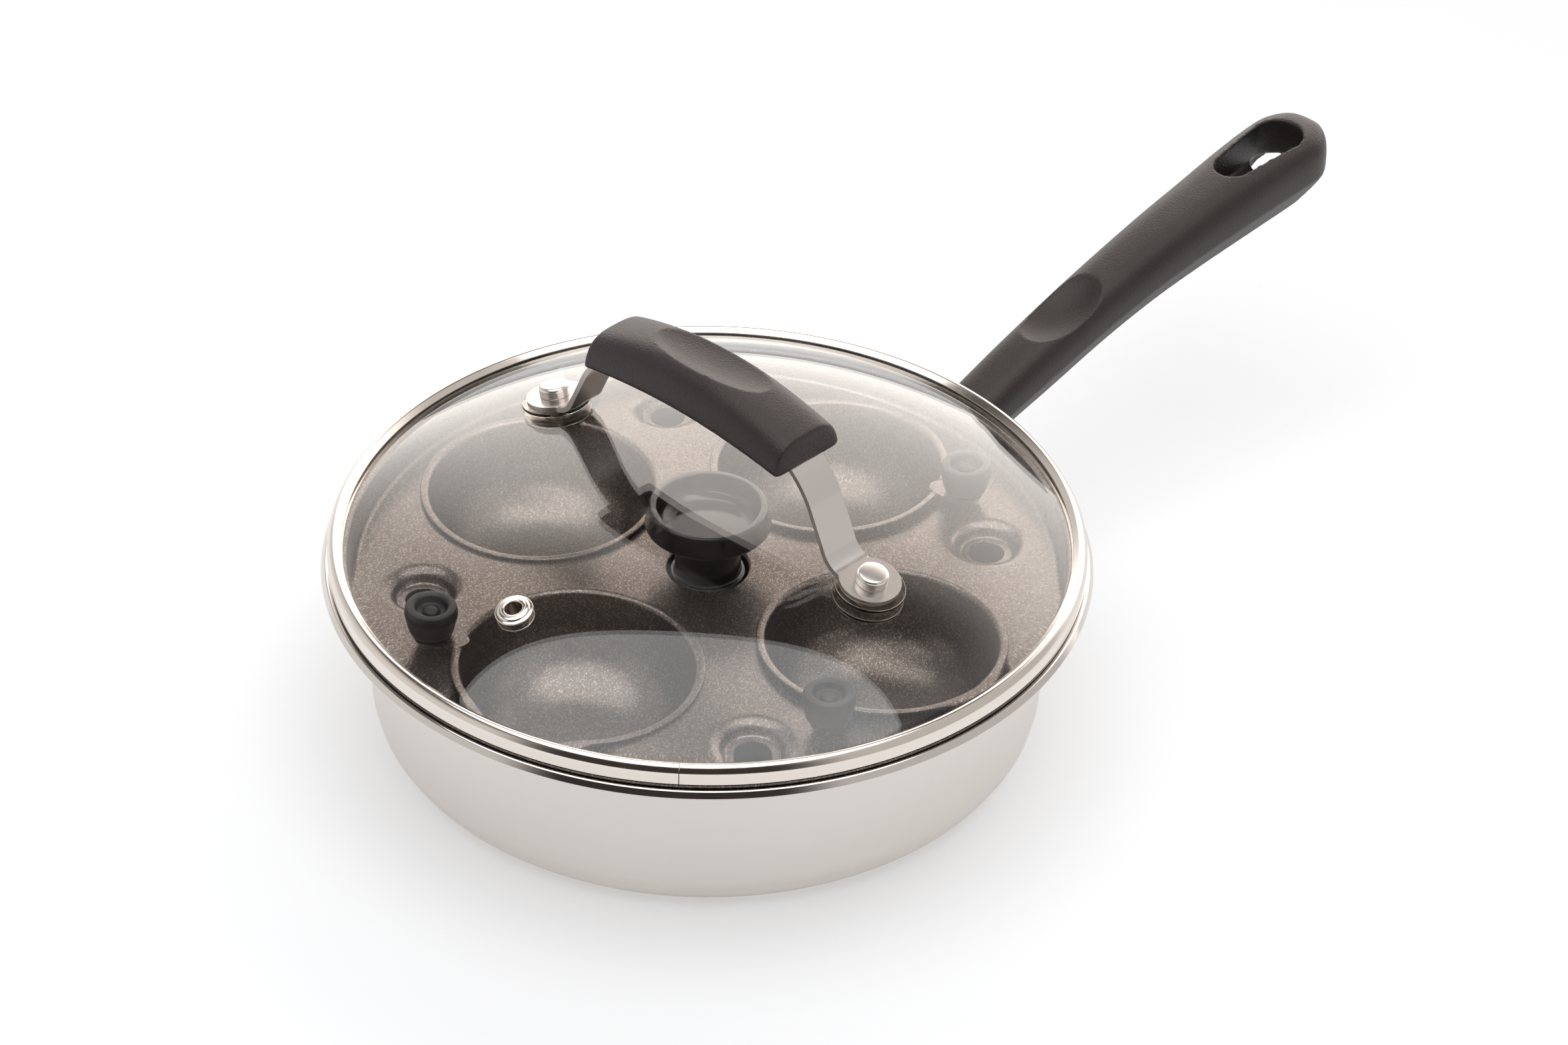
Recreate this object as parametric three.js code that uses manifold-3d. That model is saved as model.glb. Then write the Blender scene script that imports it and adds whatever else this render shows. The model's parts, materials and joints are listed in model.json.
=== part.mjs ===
// Egg poacher pan: a shallow steel pan, a poaching tray with four loose egg cups, and a vented glass lid.
// Millimetres. The origin is the middle of the pan's underside, +X runs along the long handle, +Z is up.
import * as THREE from "three";
import { mergeVertices } from "three/addons/utils/BufferGeometryUtils.js";
import Module from "manifold-3d";

const wasm = await Module();
wasm.setup();

// Facets round a full turn
const bigTurn = 40;
const cupTurn = 24;
const knobTurn = 18;
const smallTurn = 14;

// Clearances
const seatGap = 0.3; // between two pieces that rest on each other
const shankGap = 0.3; // round a shank in its hole
const cutOver = 3; // how far a cut runs past the surface that it opens
const weld = 1e-4; // vertices closer than this are one

// Pan body
const panBaseR = 84;
const panCornerR = 12.5;
const panSheet = 0.8;
const wallRise = 31;
const wallLean = 1.5;
const shoulderOut = 4.6;
const shoulderRise = 3;
const collarRise = 5.5;
const rimBendR = 0.85;
const rimReach = 5;
const curlHalfWide = 1.9;
const curlHalfHigh = 0.75;

const wallLowR = panBaseR + panCornerR;
const wallTopR = wallLowR + wallLean;
const wallTopZ = panCornerR + wallRise;
const collarR = wallTopR + shoulderOut;
const collarZ = wallTopZ + shoulderRise;
const collarTopZ = collarZ + collarRise;
const flangeUnderZ = collarTopZ + rimBendR;
const rimTopZ = flangeUnderZ + panSheet;
const curlR = collarR + rimReach;
const curlZ = rimTopZ - curlHalfHigh;
const rimOuterR = curlR + curlHalfWide;
const rimUnderZ = curlZ - curlHalfHigh;

// Poaching tray
const traySheet = 0.7;
const trayDrop = 7.65;
const riserLean = 1.3;
const trayPlay = 0.5; // between the riser and the pan's collar
const flangeInset = 2.3;
const trayFillet = 1;
const cupEdge = 6.2; // tray left between a cup's hole and the riser
const cupWeb = 18.3; // tray left between the holes of two cups
const cupBearing = 8.9; // azimuth of the first cup, in degrees
const dimpleR = 12.3;
const dimpleDepth = 3.75;
const dimpleRingR = 7.4;
const dimpleShoulder = 4.1;
const steamHoleR = 5.15;
const dimpleEdge = 6.3; // tray left between a dimple and the riser
const dimpleLap = 0.5;
const wellWallR = 11.7;
const wellFloorR = 11.2;

const trayTopZ = rimTopZ + seatGap + traySheet;
const plateZ = trayTopZ - trayDrop;
const riserTopR = collarR - panSheet - trayPlay - traySheet;
const plateR = riserTopR - riserLean;
const flangeR = rimOuterR - flangeInset;
// The four holes are as wide as their edge and web allow
const cupHoleR = (Math.SQRT2 * (plateR - cupEdge) - cupWeb) / (2 + Math.SQRT2);
const cupPitchR = plateR - cupEdge - cupHoleR;
const dimplePitchR = plateR - dimpleEdge - dimpleR;
const wellFloorZ = plateZ - dimpleDepth;

// Lid glass: a dome whose height falls off with a power of the radius
const bandInset = 2;
const bandWall = 2.2;
const glassT = 3.1;
const domeRise = 19.2;
const domePower = 2.8;
const glassEdgeDrop = 0.9;
const bandSheet = 0.45;
const bandLip = 2.9; // how far the band reaches over and under the glass
const bandFace = 3.3;
const bandGroove = 0.6;
const beadR = 1.3;

const bandR = rimOuterR - bandInset;
const glassR = bandR - bandWall - seatGap;
const bandUnderZ = trayTopZ + seatGap;
const glassUnderZ = bandUnderZ + bandSheet + seatGap;
const domeR = glassR - glassEdgeDrop;
const domeEdgeZ = glassUnderZ + glassT - seatGap;
const domeTopZ = domeEdgeZ + domeRise;
const glassTop = (r) => domeTopZ - domeRise * Math.pow(r / domeR, domePower);
const glassSlope = (r) => Math.atan((domeRise * domePower * Math.pow(r / domeR, domePower - 1)) / domeR);
const glassUnder = (r) => Math.max(glassTop(r) - glassT / Math.cos(glassSlope(r)), glassUnderZ);

// Egg cups and their knobs: each cup leans on the rivet below its knob
const cupSheet = 0.7;
const cupLap = 1.7;
const lipFlat = 1.4;
const lipBendR = 2;
const cupDepth = 26.5;
const cupWallDrop = 9;
const cupWallLean = 0.9;
const cupBottomR = 12;
const cupLean = 1.6; // degrees
const knobReach = 7.1; // from the cup's lip out to its knob's axis
const tabR = 5.6;
const cupKnobR = 7.55;
const knobHeadroom = 1.5;
const cupRivetR = 1.5;
const cupRivetHeadR = 3.2;
const cupRivetDepth = 5;
const cupTurns = [-75.7, -67.5, -68.9, -75.9]; // each knob's turn from the outward direction, in degrees
// radius and height as shares of the knob's, from its foot round to the ball in its top
const cupKnobShares = [
  [0.63, 0], [0.75, 0.09], [0.87, 0.34], [0.97, 0.69], [1, 0.82], [0.94, 0.93], [0.8, 0.99],
  [0.67, 1], [0.55, 0.94], [0.52, 0.82], [0.31, 0.77], [0.28, 0.84], [0.17, 0.9], [0, 0.92],
];

const cupLipR = cupHoleR + cupLap;
const cupWallR = cupLipR - lipFlat - lipBendR;
const knobOffset = cupLipR + knobReach;
const lean = THREE.MathUtils.degToRad(cupLean);
const cupZ = plateZ + seatGap + cupSheet + cupLipR * Math.sin(lean);
const knobSeatZ = cupZ + knobOffset * Math.sin(lean) + seatGap;
const knobReaches = cupTurns.map((turn) =>
  Math.hypot(
    cupPitchR + knobOffset * Math.cos(THREE.MathUtils.degToRad(turn)),
    knobOffset * Math.sin(THREE.MathUtils.degToRad(turn)),
  ),
);
const knobCrest = Math.max(...knobReaches) + cupKnobR * 0.7;
const cupKnobHeight = glassUnder(knobCrest) - knobHeadroom - knobSeatZ;

// Centre knob, which lifts the tray
const knobFootR = 10.8;
const knobFootHeight = 2.5;
const knobStemR = 9.35;
const capTopR = 16.6;
const capFlare = 1.4;
const capHeight = 7.2;
const capWall = 1.8;
const capDishR = 10.8;
const capDishDepth = 6.4;
const capFillet = 0.9;
const capHeadroom = 6.8;
const trayScrewR = 2;
const trayScrewHeadR = 4;
const trayScrewDepth = 12;
const trayWasherR = 7.5;
const trayWasherT = 1;
const screwHeadT = 2;

const knobFootZ = wellFloorZ + seatGap;
const capTopZ = glassUnder(0) - capHeadroom;

// Vent and lid hardware
const ventInset = 30.9;
const ventBearing = 180;
const ventHoleR = 2.4;
const ventTubeR = 3.3;
const ventFlangeR = 5.4;
const ventFlangeT = 0.6;
const ventRise = 1.7;
const ventLow = -glassT - ventFlangeT; // under the hollow side of the glass, from its top
const footR = 62.4;
const softWasherR = 10;
const softWasherT = 1.1;
const underGap = 0.7; // the flat washer bridges the hollow side of the glass
const strapWidth = 12;
const strapT = 1.5;
const strapFootR = 8.75;
const lidRivetR = 2.6;
const lidRivetHeadR = 4.5;
const lidRivetHeadT = 3.3;
const lidRivetTailR = 4.2;
const lidRivetTailT = 1.4;

// Lid grip, which lies along Y
const gripHalf = 38.3;
const gripHalfWide = 12.5;
const gripTopRise = 41.9; // top of the grip over the glass's highest point
const gripTopFall = 6.6;
const gripHeight = 13.4;
const gripUnderFall = 3.4;
// half width and height as shares of the grip's, from the middle of the underside up to the middle of the top
const gripSectionShares = [
  [0.91, 0], [1, 0.11], [0.95, 0.37], [0.87, 0.61], [0.75, 0.8], [0.57, 0.93], [0.31, 1],
];
const gripStations = 8;
const dentHalfLong = 29;
const dentHalfWide = 10;
const dentHalfHigh = 3.4;
const dentShift = 3.4; // off the middle, so that the hollow runs out over one shoulder
const dentAlong = 2.2;
const tongueInDepth = 18.3; // how far inside the grip's end the strap's tongue ends
const tongueOutDepth = 6.7;
const tongueSink = 1.2; // how deep the tongue's mid plane lies over the grip's middle underside
const pocketEndDepth = 0.3;
const gripScrewInset = 11.8;
const gripScrewR = 1.8;
const gripScrewHeadR = 3.4;
const gripScrewDepth = 6;
const kneeRunShare = 0.354;
const kneeDropShare = 0.298;
const ankleRunShare = 0.6656;
const strapBendR = 4;

const ventR = glassR - ventInset;
const gripTopZ = domeTopZ + gripTopRise;
const gripUnderZ = gripTopZ - gripHeight;
const tongueIn = gripHalf - tongueInDepth;
const tongueOut = gripHalf - tongueOutDepth;
const pocketEnd = gripHalf - pocketEndDepth;
const gripScrewAt = gripHalf - gripScrewInset;

// Long handle: stations from the pan outwards
const handleTipX = 268.4;
const handleEndR = 13.9;
const neckGap = 0.9; // from the pan's collar out to the handle's neck, and from its rim down to it
const notchGap = 2;
const handleHalfWide = 13.9;
const handleDrop = 9.5; // handle's low end below the top of the pan's wall
const handleRise = 54.5;
// place along the run, underside and top as shares of the climb, half width as a share of the end's
const handleShares = [
  [0, 0, 0.33, 0.68],
  [0.056, 0.12, 0.4, 0.68],
  [0.11, 0.172, 0.452, 0.685],
  [0.176, 0.218, 0.52, 0.695],
  [0.255, 0.275, 0.59, 0.71],
  [0.345, 0.352, 0.665, 0.73],
  [0.44, 0.416, 0.735, 0.755],
  [0.535, 0.472, 0.8, 0.784],
  [0.64, 0.514, 0.865, 0.828],
  [0.735, 0.545, 0.91, 0.87],
  [0.83, 0.575, 0.955, 0.918],
  [0.915, 0.6, 0.983, 0.957],
  [1, 0.63, 1, 1],
];
const handleChamfer = 2.6;
const handleFacet = 6.3;
const handleRoundPower = 0.7;
const tipDropShare = 0.02;
const tipCutBack = 19.7; // from the handle's end in to where its underside starts to slope up
const tipCutSlope = 31; // degrees
const slotInnerBack = 39.4; // the hanging slot's two ends, measured from the handle's end
const slotOuterBack = 17.9;
const slotInnerR = 5.8;
const slotOuterR = 7.8;
const slotDepth = 12.5; // down to the floor that the round hole goes through
const slotFloorT = 1.5;
const hangHoleR = 9;
const hangHoleBack = 15.4;
const hangBoreR = 10.4;
const thumbX = 147.6; // middle of the ball that hollows the thumb rest
const thumbZ = 76;
const thumbHalfLong = 20.9;
const thumbHalfWide = 15.7;
const thumbHalfHigh = 12.2;
const thumbLean = 16.4; // degrees
const bracketDrop = 0.9;
const bracketTall = 13.6;
const bracketHalf = 11;
const bracketSheet = 1.6;
const tangWide = 12;
const tangT = 3;
const tangDrop = 4.1; // tang's root below the top of the bracket's foot
const tangBendX = 5.6;
const tangBendRise = 2.2;
const tangRun = 26;
const tangClimb = 14.8;
const handleScrewAt = 17.4;
const handleScrewR = 1.8;
const handleScrewHeadR = 3.6;
const handleScrewSink = 0.9;
const handleScrewTail = 11.4;

const handleLowZ = wallTopZ - handleDrop;
const handleTopZ = handleLowZ + handleRise;
const bracketHigh = wallTopZ - bracketDrop;
const bracketLow = bracketHigh - bracketTall;
const tangRise = bracketHigh - tangDrop;
const neckX = collarR + neckGap;
const notchX = rimOuterR + notchGap;
const handleRunEnd = handleTipX - handleEndR;
const slotInnerX = handleTipX - slotInnerBack;
const slotOuterX = handleTipX - slotOuterBack;
const slotFloorZ = handleTopZ - slotDepth;

// Finishes
const steel = () => new THREE.MeshStandardMaterial({ color: 0xd4cfc9, metalness: 1, roughness: 0.25 });
const brushed = () => new THREE.MeshStandardMaterial({ color: 0xcfccc8, metalness: 1, roughness: 0.4 });
const nonStick = () => new THREE.MeshStandardMaterial({ color: 0x5f5a56, metalness: 0.5, roughness: 0.45 });
const phenolic = () => new THREE.MeshStandardMaterial({ color: 0x3a3535, metalness: 0, roughness: 0.6 });
const glossBlack = () => new THREE.MeshStandardMaterial({ color: 0x171514, metalness: 0, roughness: 0.15 });
const satinBlack = () => new THREE.MeshStandardMaterial({ color: 0x1d1b1b, metalness: 0, roughness: 0.4 });
const clearGlass = () =>
  new THREE.MeshStandardMaterial({
    color: 0xe6ece9, metalness: 0, roughness: 0.05, transparent: true, opacity: 0.3,
  });
const silicone = () => new THREE.MeshStandardMaterial({ color: 0xc9a87c, metalness: 0, roughness: 0.4 });

// Shape helpers
function toSolid(geometry) {
  const bare = geometry.clone();
  bare.deleteAttribute("normal");
  bare.deleteAttribute("uv");
  const merged = mergeVertices(bare, weld);
  const kept = [];
  const corners = merged.index.array;
  for (let i = 0; i < corners.length; i += 3) {
    const [a, b, c] = [corners[i], corners[i + 1], corners[i + 2]];
    if (a !== b && b !== c && c !== a) kept.push(a, b, c);
  }
  const vertProperties = merged.attributes.position.array;
  return new wasm.Manifold(new wasm.Mesh({ numProp: 3, vertProperties, triVerts: new Uint32Array(kept) }));
}

function toMesh(name, solid, material) {
  const { vertProperties, triVerts } = solid.getMesh();
  const geometry = new THREE.BufferGeometry();
  geometry.setAttribute("position", new THREE.BufferAttribute(vertProperties, 3));
  geometry.setIndex(new THREE.BufferAttribute(triVerts, 1));
  geometry.computeVertexNormals();
  const mesh = new THREE.Mesh(geometry, material);
  mesh.name = name;
  return mesh;
}

// Points of an elliptical arc, angles in degrees
function arc(r, z, halfWide, halfHigh, from, to, steps) {
  return Array.from({ length: steps + 1 }, (_, i) => {
    const angle = THREE.MathUtils.degToRad(from + ((to - from) * i) / steps);
    return [r + halfWide * Math.cos(angle), z + halfHigh * Math.sin(angle)];
  });
}

// An open path whose corners [x, y, fillet] are rounded, each fillet limited by its neighbours
function rounded(corners, steps = 2) {
  const path = [];
  corners.forEach(([x, y, fillet = 0], i) => {
    const here = new THREE.Vector2(x, y);
    if (!fillet || i === 0 || i === corners.length - 1) return path.push([x, y]);
    const back = new THREE.Vector2(corners[i - 1][0], corners[i - 1][1]).sub(here);
    const on = new THREE.Vector2(corners[i + 1][0], corners[i + 1][1]).sub(here);
    const half = back.angleTo(on) / 2;
    const reach = Math.min(fillet / Math.tan(half), back.length() * 0.45, on.length() * 0.45);
    const curve = new THREE.QuadraticBezierCurve(
      here.clone().add(back.setLength(reach)),
      here,
      here.clone().add(on.setLength(reach)),
    );
    curve.getPoints(steps).forEach((p) => path.push([p.x, p.y]));
  });
  return path;
}

// The path moved sideways, to its left where the distance is positive
function beside(path, distance) {
  return path.map(([x, y], i) => {
    const [ax, ay] = path[Math.max(i - 1, 0)];
    const [bx, by] = path[Math.min(i + 1, path.length - 1)];
    const before = new THREE.Vector2(x - ax, y - ay).normalize();
    const after = new THREE.Vector2(bx - x, by - y).normalize();
    const along = before.clone().add(after).normalize();
    const spread = Math.max(along.dot(after.length() ? after : before), 0.5);
    return [x - (along.y * distance) / spread, y + (along.x * distance) / spread];
  });
}

const sheetProfile = (path, distance) => [...path, ...beside(path, distance).reverse()];

// A solid of revolution about Z from a closed profile [radius, height]
function revolve(profile, facets) {
  const points = profile.map(([r, z]) => new THREE.Vector2(Math.max(r, 0), z));
  if (THREE.ShapeUtils.area(points) < 0) points.reverse();
  points.push(points[0].clone());
  return toSolid(new THREE.LatheGeometry(points, facets).rotateX(Math.PI / 2));
}

const rod = (radius, low, high, facets) =>
  revolve([[0, low], [radius, low], [radius, high], [0, high]], facets);

const ringProfile = (inner, outer, low, high) => [[inner, low], [outer, low], [outer, high], [inner, high]];

function block([x0, x1], [y0, y1], [z0, z1]) {
  const box = new THREE.BoxGeometry(x1 - x0, y1 - y0, z1 - z0);
  return toSolid(box.translate((x0 + x1) / 2, (y0 + y1) / 2, (z0 + z1) / 2));
}

// A plate of the outline [x, y] between two heights
function plate(outline, low, high) {
  const shape = new THREE.Shape(outline.map(([x, y]) => new THREE.Vector2(x, y)));
  return toSolid(
    new THREE.ExtrudeGeometry(shape, { depth: high - low, bevelEnabled: false }).translate(0, 0, low),
  );
}

// A bent strip: its centreline lies in an upright plane, [run, height], and its width across it
function strip(path, thickness, width) {
  const outline = [...beside(path, -thickness / 2), ...beside(path, thickness / 2).reverse()];
  const shape = new THREE.Shape(outline.map(([x, y]) => new THREE.Vector2(x, y)));
  return new THREE.ExtrudeGeometry(shape, { depth: width, bevelEnabled: false }).translate(0, 0, -width / 2);
}

const runAlongX = new THREE.Matrix4().makeRotationX(Math.PI / 2);
const runAlongY = new THREE.Matrix4().makeBasis(
  new THREE.Vector3(0, 1, 0),
  new THREE.Vector3(0, 0, 1),
  new THREE.Vector3(1, 0, 0),
);

// A skin through rings of equally many points, closed by flat ends
function loft(rings) {
  const count = rings[0].length;
  const index = [];
  rings.slice(1).forEach((_, s) => {
    for (let i = 0; i < count; i++) {
      const [a, b] = [s * count + i, s * count + ((i + 1) % count)];
      index.push(a, b, b + count, a, b + count, a + count);
    }
  });
  const last = (rings.length - 1) * count;
  for (let i = 1; i < count - 1; i++) index.push(0, i + 1, i, last, last + i, last + i + 1);
  const geometry = new THREE.BufferGeometry();
  geometry.setAttribute("position", new THREE.Float32BufferAttribute(rings.flat(2), 3));
  geometry.setIndex(index);
  return toSolid(geometry);
}

// Places a solid's geometry: turned about X, then moved
const placed = (solid, turnX, x, y, z) =>
  solid.rotate([THREE.MathUtils.radToDeg(turnX), 0, 0]).translate([x, y, z]);

const pan = new THREE.Group();
const tray = new THREE.Group();
const lid = new THREE.Group();

// Pan body: one drawn sheet with a stepped collar and a flattened curl round its rim
const shoulder = [0, 1 / 3, 2 / 3, 1].map((t) => [
  wallTopR + shoulderOut * THREE.MathUtils.smoothstep(t, 0, 1),
  wallTopZ + shoulderRise * t,
]);
const panOutside = [
  [0, 0],
  ...arc(panBaseR, panCornerR, panCornerR, panCornerR, -90, 0, 3),
  ...shoulder,
  ...arc(collarR + rimBendR, collarTopZ, rimBendR, rimBendR, 180, 90, 2),
  [curlR - curlHalfWide, flangeUnderZ],
];
const curl = arc(curlR, curlZ, curlHalfWide, curlHalfHigh, 195, 450, 6);
const panProfile = [...panOutside, ...curl, ...beside(panOutside, panSheet).reverse()];
pan.add(toMesh("pan_body", revolve(panProfile, bigTurn), brushed()));

// Bracket: a foot plate on the pan's wall and a tang that runs into the handle
const wallAt = (z) => wallLowR + (wallLean * (z - panCornerR)) / wallRise + seatGap;
const footProfile = [
  [wallAt(bracketLow), bracketLow],
  [wallAt(bracketLow) + bracketSheet, bracketLow],
  [wallAt(bracketHigh) + bracketSheet, bracketHigh],
  [wallAt(bracketHigh), bracketHigh],
];
const tangStart = wallAt(tangRise) + bracketSheet / 2;
const tangPath = rounded(
  [
    [tangStart, tangRise],
    [tangStart + tangBendX, tangRise + tangBendRise, strapBendR],
    [tangStart + tangBendX + tangRun, tangRise + tangBendRise + tangClimb],
  ],
  3,
);
const screwX = tangStart + tangBendX + handleScrewAt;
const tang = toSolid(strip(tangPath, tangT, tangWide).applyMatrix4(runAlongX));
const bracket = revolve(footProfile, bigTurn)
  .intersect(block([0, rimOuterR], [-bracketHalf, bracketHalf], [0, rimTopZ]))
  .add(tang)
  .subtract(rod(handleScrewR + shankGap, 0, handleTopZ, smallTurn).translate([screwX, 0, 0]));
pan.add(toMesh("handle_bracket", bracket, steel()));

// Long handle
function handleRing(x, low, top, halfWide) {
  const foot = halfWide - Math.min(handleChamfer, halfWide * 0.4);
  const side = low + handleFacet;
  const upper = arc(0, 0, 1, 1, 0, 180, 10).map(([c, s]) => [
    Math.sign(c) * Math.pow(Math.abs(c), handleRoundPower) * halfWide,
    side + Math.pow(s, handleRoundPower) * (top - side),
  ]);
  return [[-foot, low], [foot, low], ...upper].map(([y, z]) => [x, y, z]);
}
const handleRings = handleShares.map(([runShare, lowShare, topShare, wideShare]) =>
  handleRing(
    neckX + (handleRunEnd - neckX) * runShare,
    handleLowZ + handleRise * lowShare,
    handleLowZ + handleRise * topShare,
    handleHalfWide * wideShare,
  ),
);
const [, endLowShare, endTopShare] = handleShares[handleShares.length - 1];
for (const [c, s] of arc(0, 0, 1, 1, 20, 84, 4)) {
  handleRings.push(
    handleRing(
      handleRunEnd + handleEndR * s,
      handleLowZ + handleRise * endLowShare,
      handleLowZ + handleRise * (endTopShare - tipDropShare * (1 - c)),
      handleHalfWide * c,
    ),
  );
}
const slotOutline = [
  ...arc(slotInnerX, 0, slotInnerR, slotInnerR, 90, 270, 8),
  ...arc(slotOuterX, 0, slotOuterR, slotOuterR, -90, 90, 8),
];
const thumbDent = toSolid(
  new THREE.SphereGeometry(1, knobTurn, smallTurn)
    .scale(thumbHalfLong, thumbHalfWide, thumbHalfHigh)
    .rotateY(-THREE.MathUtils.degToRad(thumbLean))
    .translate(thumbX, 0, thumbZ),
);
const tangPocket = toSolid(
  strip(tangPath, tangT + 2 * seatGap, tangWide + 2 * seatGap).applyMatrix4(runAlongX),
).translate([seatGap, 0, 0]);
// The handle's underside at a place along it
function handleLowAt(x) {
  const next = handleRings.findIndex((ring) => ring[0][0] > x);
  const [[x0, , z0], [x1, , z1]] = [handleRings[next - 1][0], handleRings[next][0]];
  return z0 + ((z1 - z0) * (x - x0)) / (x1 - x0);
}
const screwSeatZ = handleLowAt(screwX) + handleScrewSink;
const screwTopZ = screwSeatZ + handleScrewTail;
// The underside slopes up to the end
const tipX = handleTipX - tipCutBack;
const tipCut = block([0, 2 * tipCutBack], [-handleHalfWide, handleHalfWide], [-handleRise, 0])
  .rotate([0, -tipCutSlope, 0])
  .translate([tipX, 0, handleLowAt(tipX)]);
const hangHole = rod(hangHoleR, 0, handleTopZ - slotDepth / 2, knobTurn)
  .add(rod(hangBoreR, 0, slotFloorZ - slotFloorT, knobTurn))
  .translate([handleTipX - hangHoleBack, 0, 0]);
const handle = loft(handleRings)
  .subtract(plate(slotOutline, slotFloorZ, handleTopZ + cutOver))
  .subtract(hangHole)
  .subtract(tipCut)
  .subtract(thumbDent)
  .subtract(block([0, notchX], [-handleHalfWide, handleHalfWide], [rimUnderZ - neckGap, handleTopZ]))
  .subtract(tangPocket.add(tang))
  .subtract(rod(handleScrewR + shankGap, 0, screwTopZ + seatGap, smallTurn).translate([screwX, 0, 0]))
  .subtract(rod(handleScrewHeadR + shankGap, 0, screwSeatZ, smallTurn).translate([screwX, 0, 0]));
pan.add(toMesh("long_handle", handle, phenolic()));
const handleScrew = revolve(
  [
    [0, -screwHeadT],
    [handleScrewHeadR, -screwHeadT],
    [handleScrewHeadR, 0],
    [handleScrewR, 0],
    [handleScrewR, handleScrewTail],
    [0, handleScrewTail],
  ],
  smallTurn,
);
const handleScrewMesh = toMesh("handle_screw", handleScrew, steel());
handleScrewMesh.position.set(screwX, 0, screwSeatZ - seatGap);
pan.add(handleScrewMesh);

// Poaching tray
const trayPath = rounded([
  [trayScrewR + shankGap, wellFloorZ],
  [wellFloorR, wellFloorZ, trayFillet / 2],
  [wellWallR, plateZ, trayFillet],
  [plateR, plateZ, trayFillet],
  [riserTopR, trayTopZ, trayFillet],
  [flangeR, trayTopZ],
], 1);
const dimplePath = [
  [steamHoleR, wellFloorZ],
  [dimpleRingR, wellFloorZ],
  ...arc(
    dimpleR, plateZ - dimpleDepth + dimpleShoulder / 4,
    dimpleShoulder, dimpleDepth - dimpleShoulder / 4, 180, 90, 3,
  ),
  [dimpleR + dimpleLap, plateZ],
];
const dimple = revolve(sheetProfile(dimplePath, -traySheet), smallTurn);
const dimpleCut = rod(dimpleR, plateZ - cutOver, plateZ + cutOver, smallTurn);
const cupCut = rod(cupHoleR, plateZ - cutOver, plateZ + cutOver, cupTurn);
const bearings = [0, 1, 2, 3].map((i) => cupBearing + (i * 360) / 4);
const atBearing = (radius, degrees) => [
  radius * Math.cos(THREE.MathUtils.degToRad(degrees)),
  radius * Math.sin(THREE.MathUtils.degToRad(degrees)),
];
let trayPlate = revolve(sheetProfile(trayPath, -traySheet), bigTurn);
for (const bearing of bearings) {
  trayPlate = trayPlate.subtract(cupCut.translate([...atBearing(cupPitchR, bearing), 0]));
  const dimpleAt = [...atBearing(dimplePitchR, bearing + 45), 0];
  trayPlate = trayPlate.subtract(dimpleCut.translate(dimpleAt)).add(dimple.translate(dimpleAt));
}
tray.add(toMesh("poacher_tray", trayPlate, nonStick()));

// Centre knob with its screw and washer under the tray
const capLowZ = capTopZ - capHeight;
const capBore = knobFootZ + trayScrewDepth;
const knobProfile = [
  [0, capBore],
  [trayScrewR + shankGap, capBore],
  [trayScrewR + shankGap, knobFootZ],
  ...rounded([
    [knobFootR, knobFootZ],
    [knobFootR, knobFootZ + knobFootHeight, capFillet],
    [knobStemR, knobFootZ + knobFootHeight, capFillet],
    [knobStemR, capLowZ, capFillet],
    [capTopR + capFlare, capLowZ + capFillet, capFillet],
    [capTopR, capTopZ, capFillet],
    [capTopR - capWall, capTopZ, capFillet],
    [capDishR, capTopZ - capDishDepth, capFillet],
    [0, capTopZ - capDishDepth],
  ], 1),
];
tray.add(toMesh("centre_knob", revolve(knobProfile, knobTurn), glossBlack()));
const washerTopZ = wellFloorZ - traySheet - seatGap;
const washerLowZ = washerTopZ - trayWasherT;
tray.add(
  toMesh(
    "tray_washer",
    revolve(ringProfile(trayScrewR + shankGap, trayWasherR, washerLowZ, washerTopZ), smallTurn),
    steel(),
  ),
);
const trayScrewTop = capBore - seatGap;
tray.add(
  toMesh(
    "tray_screw",
    revolve(
      [
        [0, washerLowZ - seatGap - screwHeadT],
        [trayScrewHeadR, washerLowZ - seatGap - screwHeadT],
        [trayScrewHeadR, washerLowZ - seatGap],
        [trayScrewR, washerLowZ - seatGap],
        [trayScrewR, trayScrewTop],
        [0, trayScrewTop],
      ],
      smallTurn,
    ),
    steel(),
  ),
);

// Egg cups, each with a tab, a knob on it and the rivet that holds the knob
const cupPath = [
  [0, -cupDepth],
  ...arc(cupBottomR, -cupWallDrop, cupWallR - cupWallLean - cupBottomR, cupDepth - cupWallDrop, -90, 0, 4),
  ...arc(cupLipR - lipFlat, -lipBendR, lipBendR, lipBendR, 180, 90, 2),
  [cupLipR, 0],
];
const tabOutline = [
  [cupLipR - lipFlat, -tabR],
  ...arc(knobOffset, 0, tabR, tabR, -90, 90, 6),
  [cupLipR - lipFlat, tabR],
];
const cupSolid = revolve(sheetProfile(cupPath, -cupSheet), cupTurn)
  .add(plate(tabOutline, -cupSheet, 0))
  .subtract(rod(cupRivetR + shankGap, -cutOver, cutOver, smallTurn).translate([knobOffset, 0, 0]));
const rivetBore = cupRivetDepth + seatGap;
const cupKnobSolid = revolve(
  cupKnobShares.map(([r, z]) => [r * cupKnobR, z * cupKnobHeight]),
  smallTurn,
).subtract(rod(cupRivetR + shankGap, -cutOver, rivetBore, smallTurn));
const rivetHeadT = cupZ + knobOffset * Math.sin(lean) - cupSheet - plateZ - 3 * seatGap;
const cupRivetSolid = revolve(
  [
    [0, -seatGap - rivetHeadT],
    [cupRivetHeadR * 0.8, -seatGap - rivetHeadT],
    [cupRivetHeadR, -seatGap - rivetHeadT / 2],
    [cupRivetHeadR, -seatGap],
    [cupRivetR, -seatGap],
    [cupRivetR, cupSheet + cupRivetDepth],
    [0, cupSheet + cupRivetDepth],
  ],
  smallTurn,
).translate([0, 0, -cupSheet]);
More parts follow.
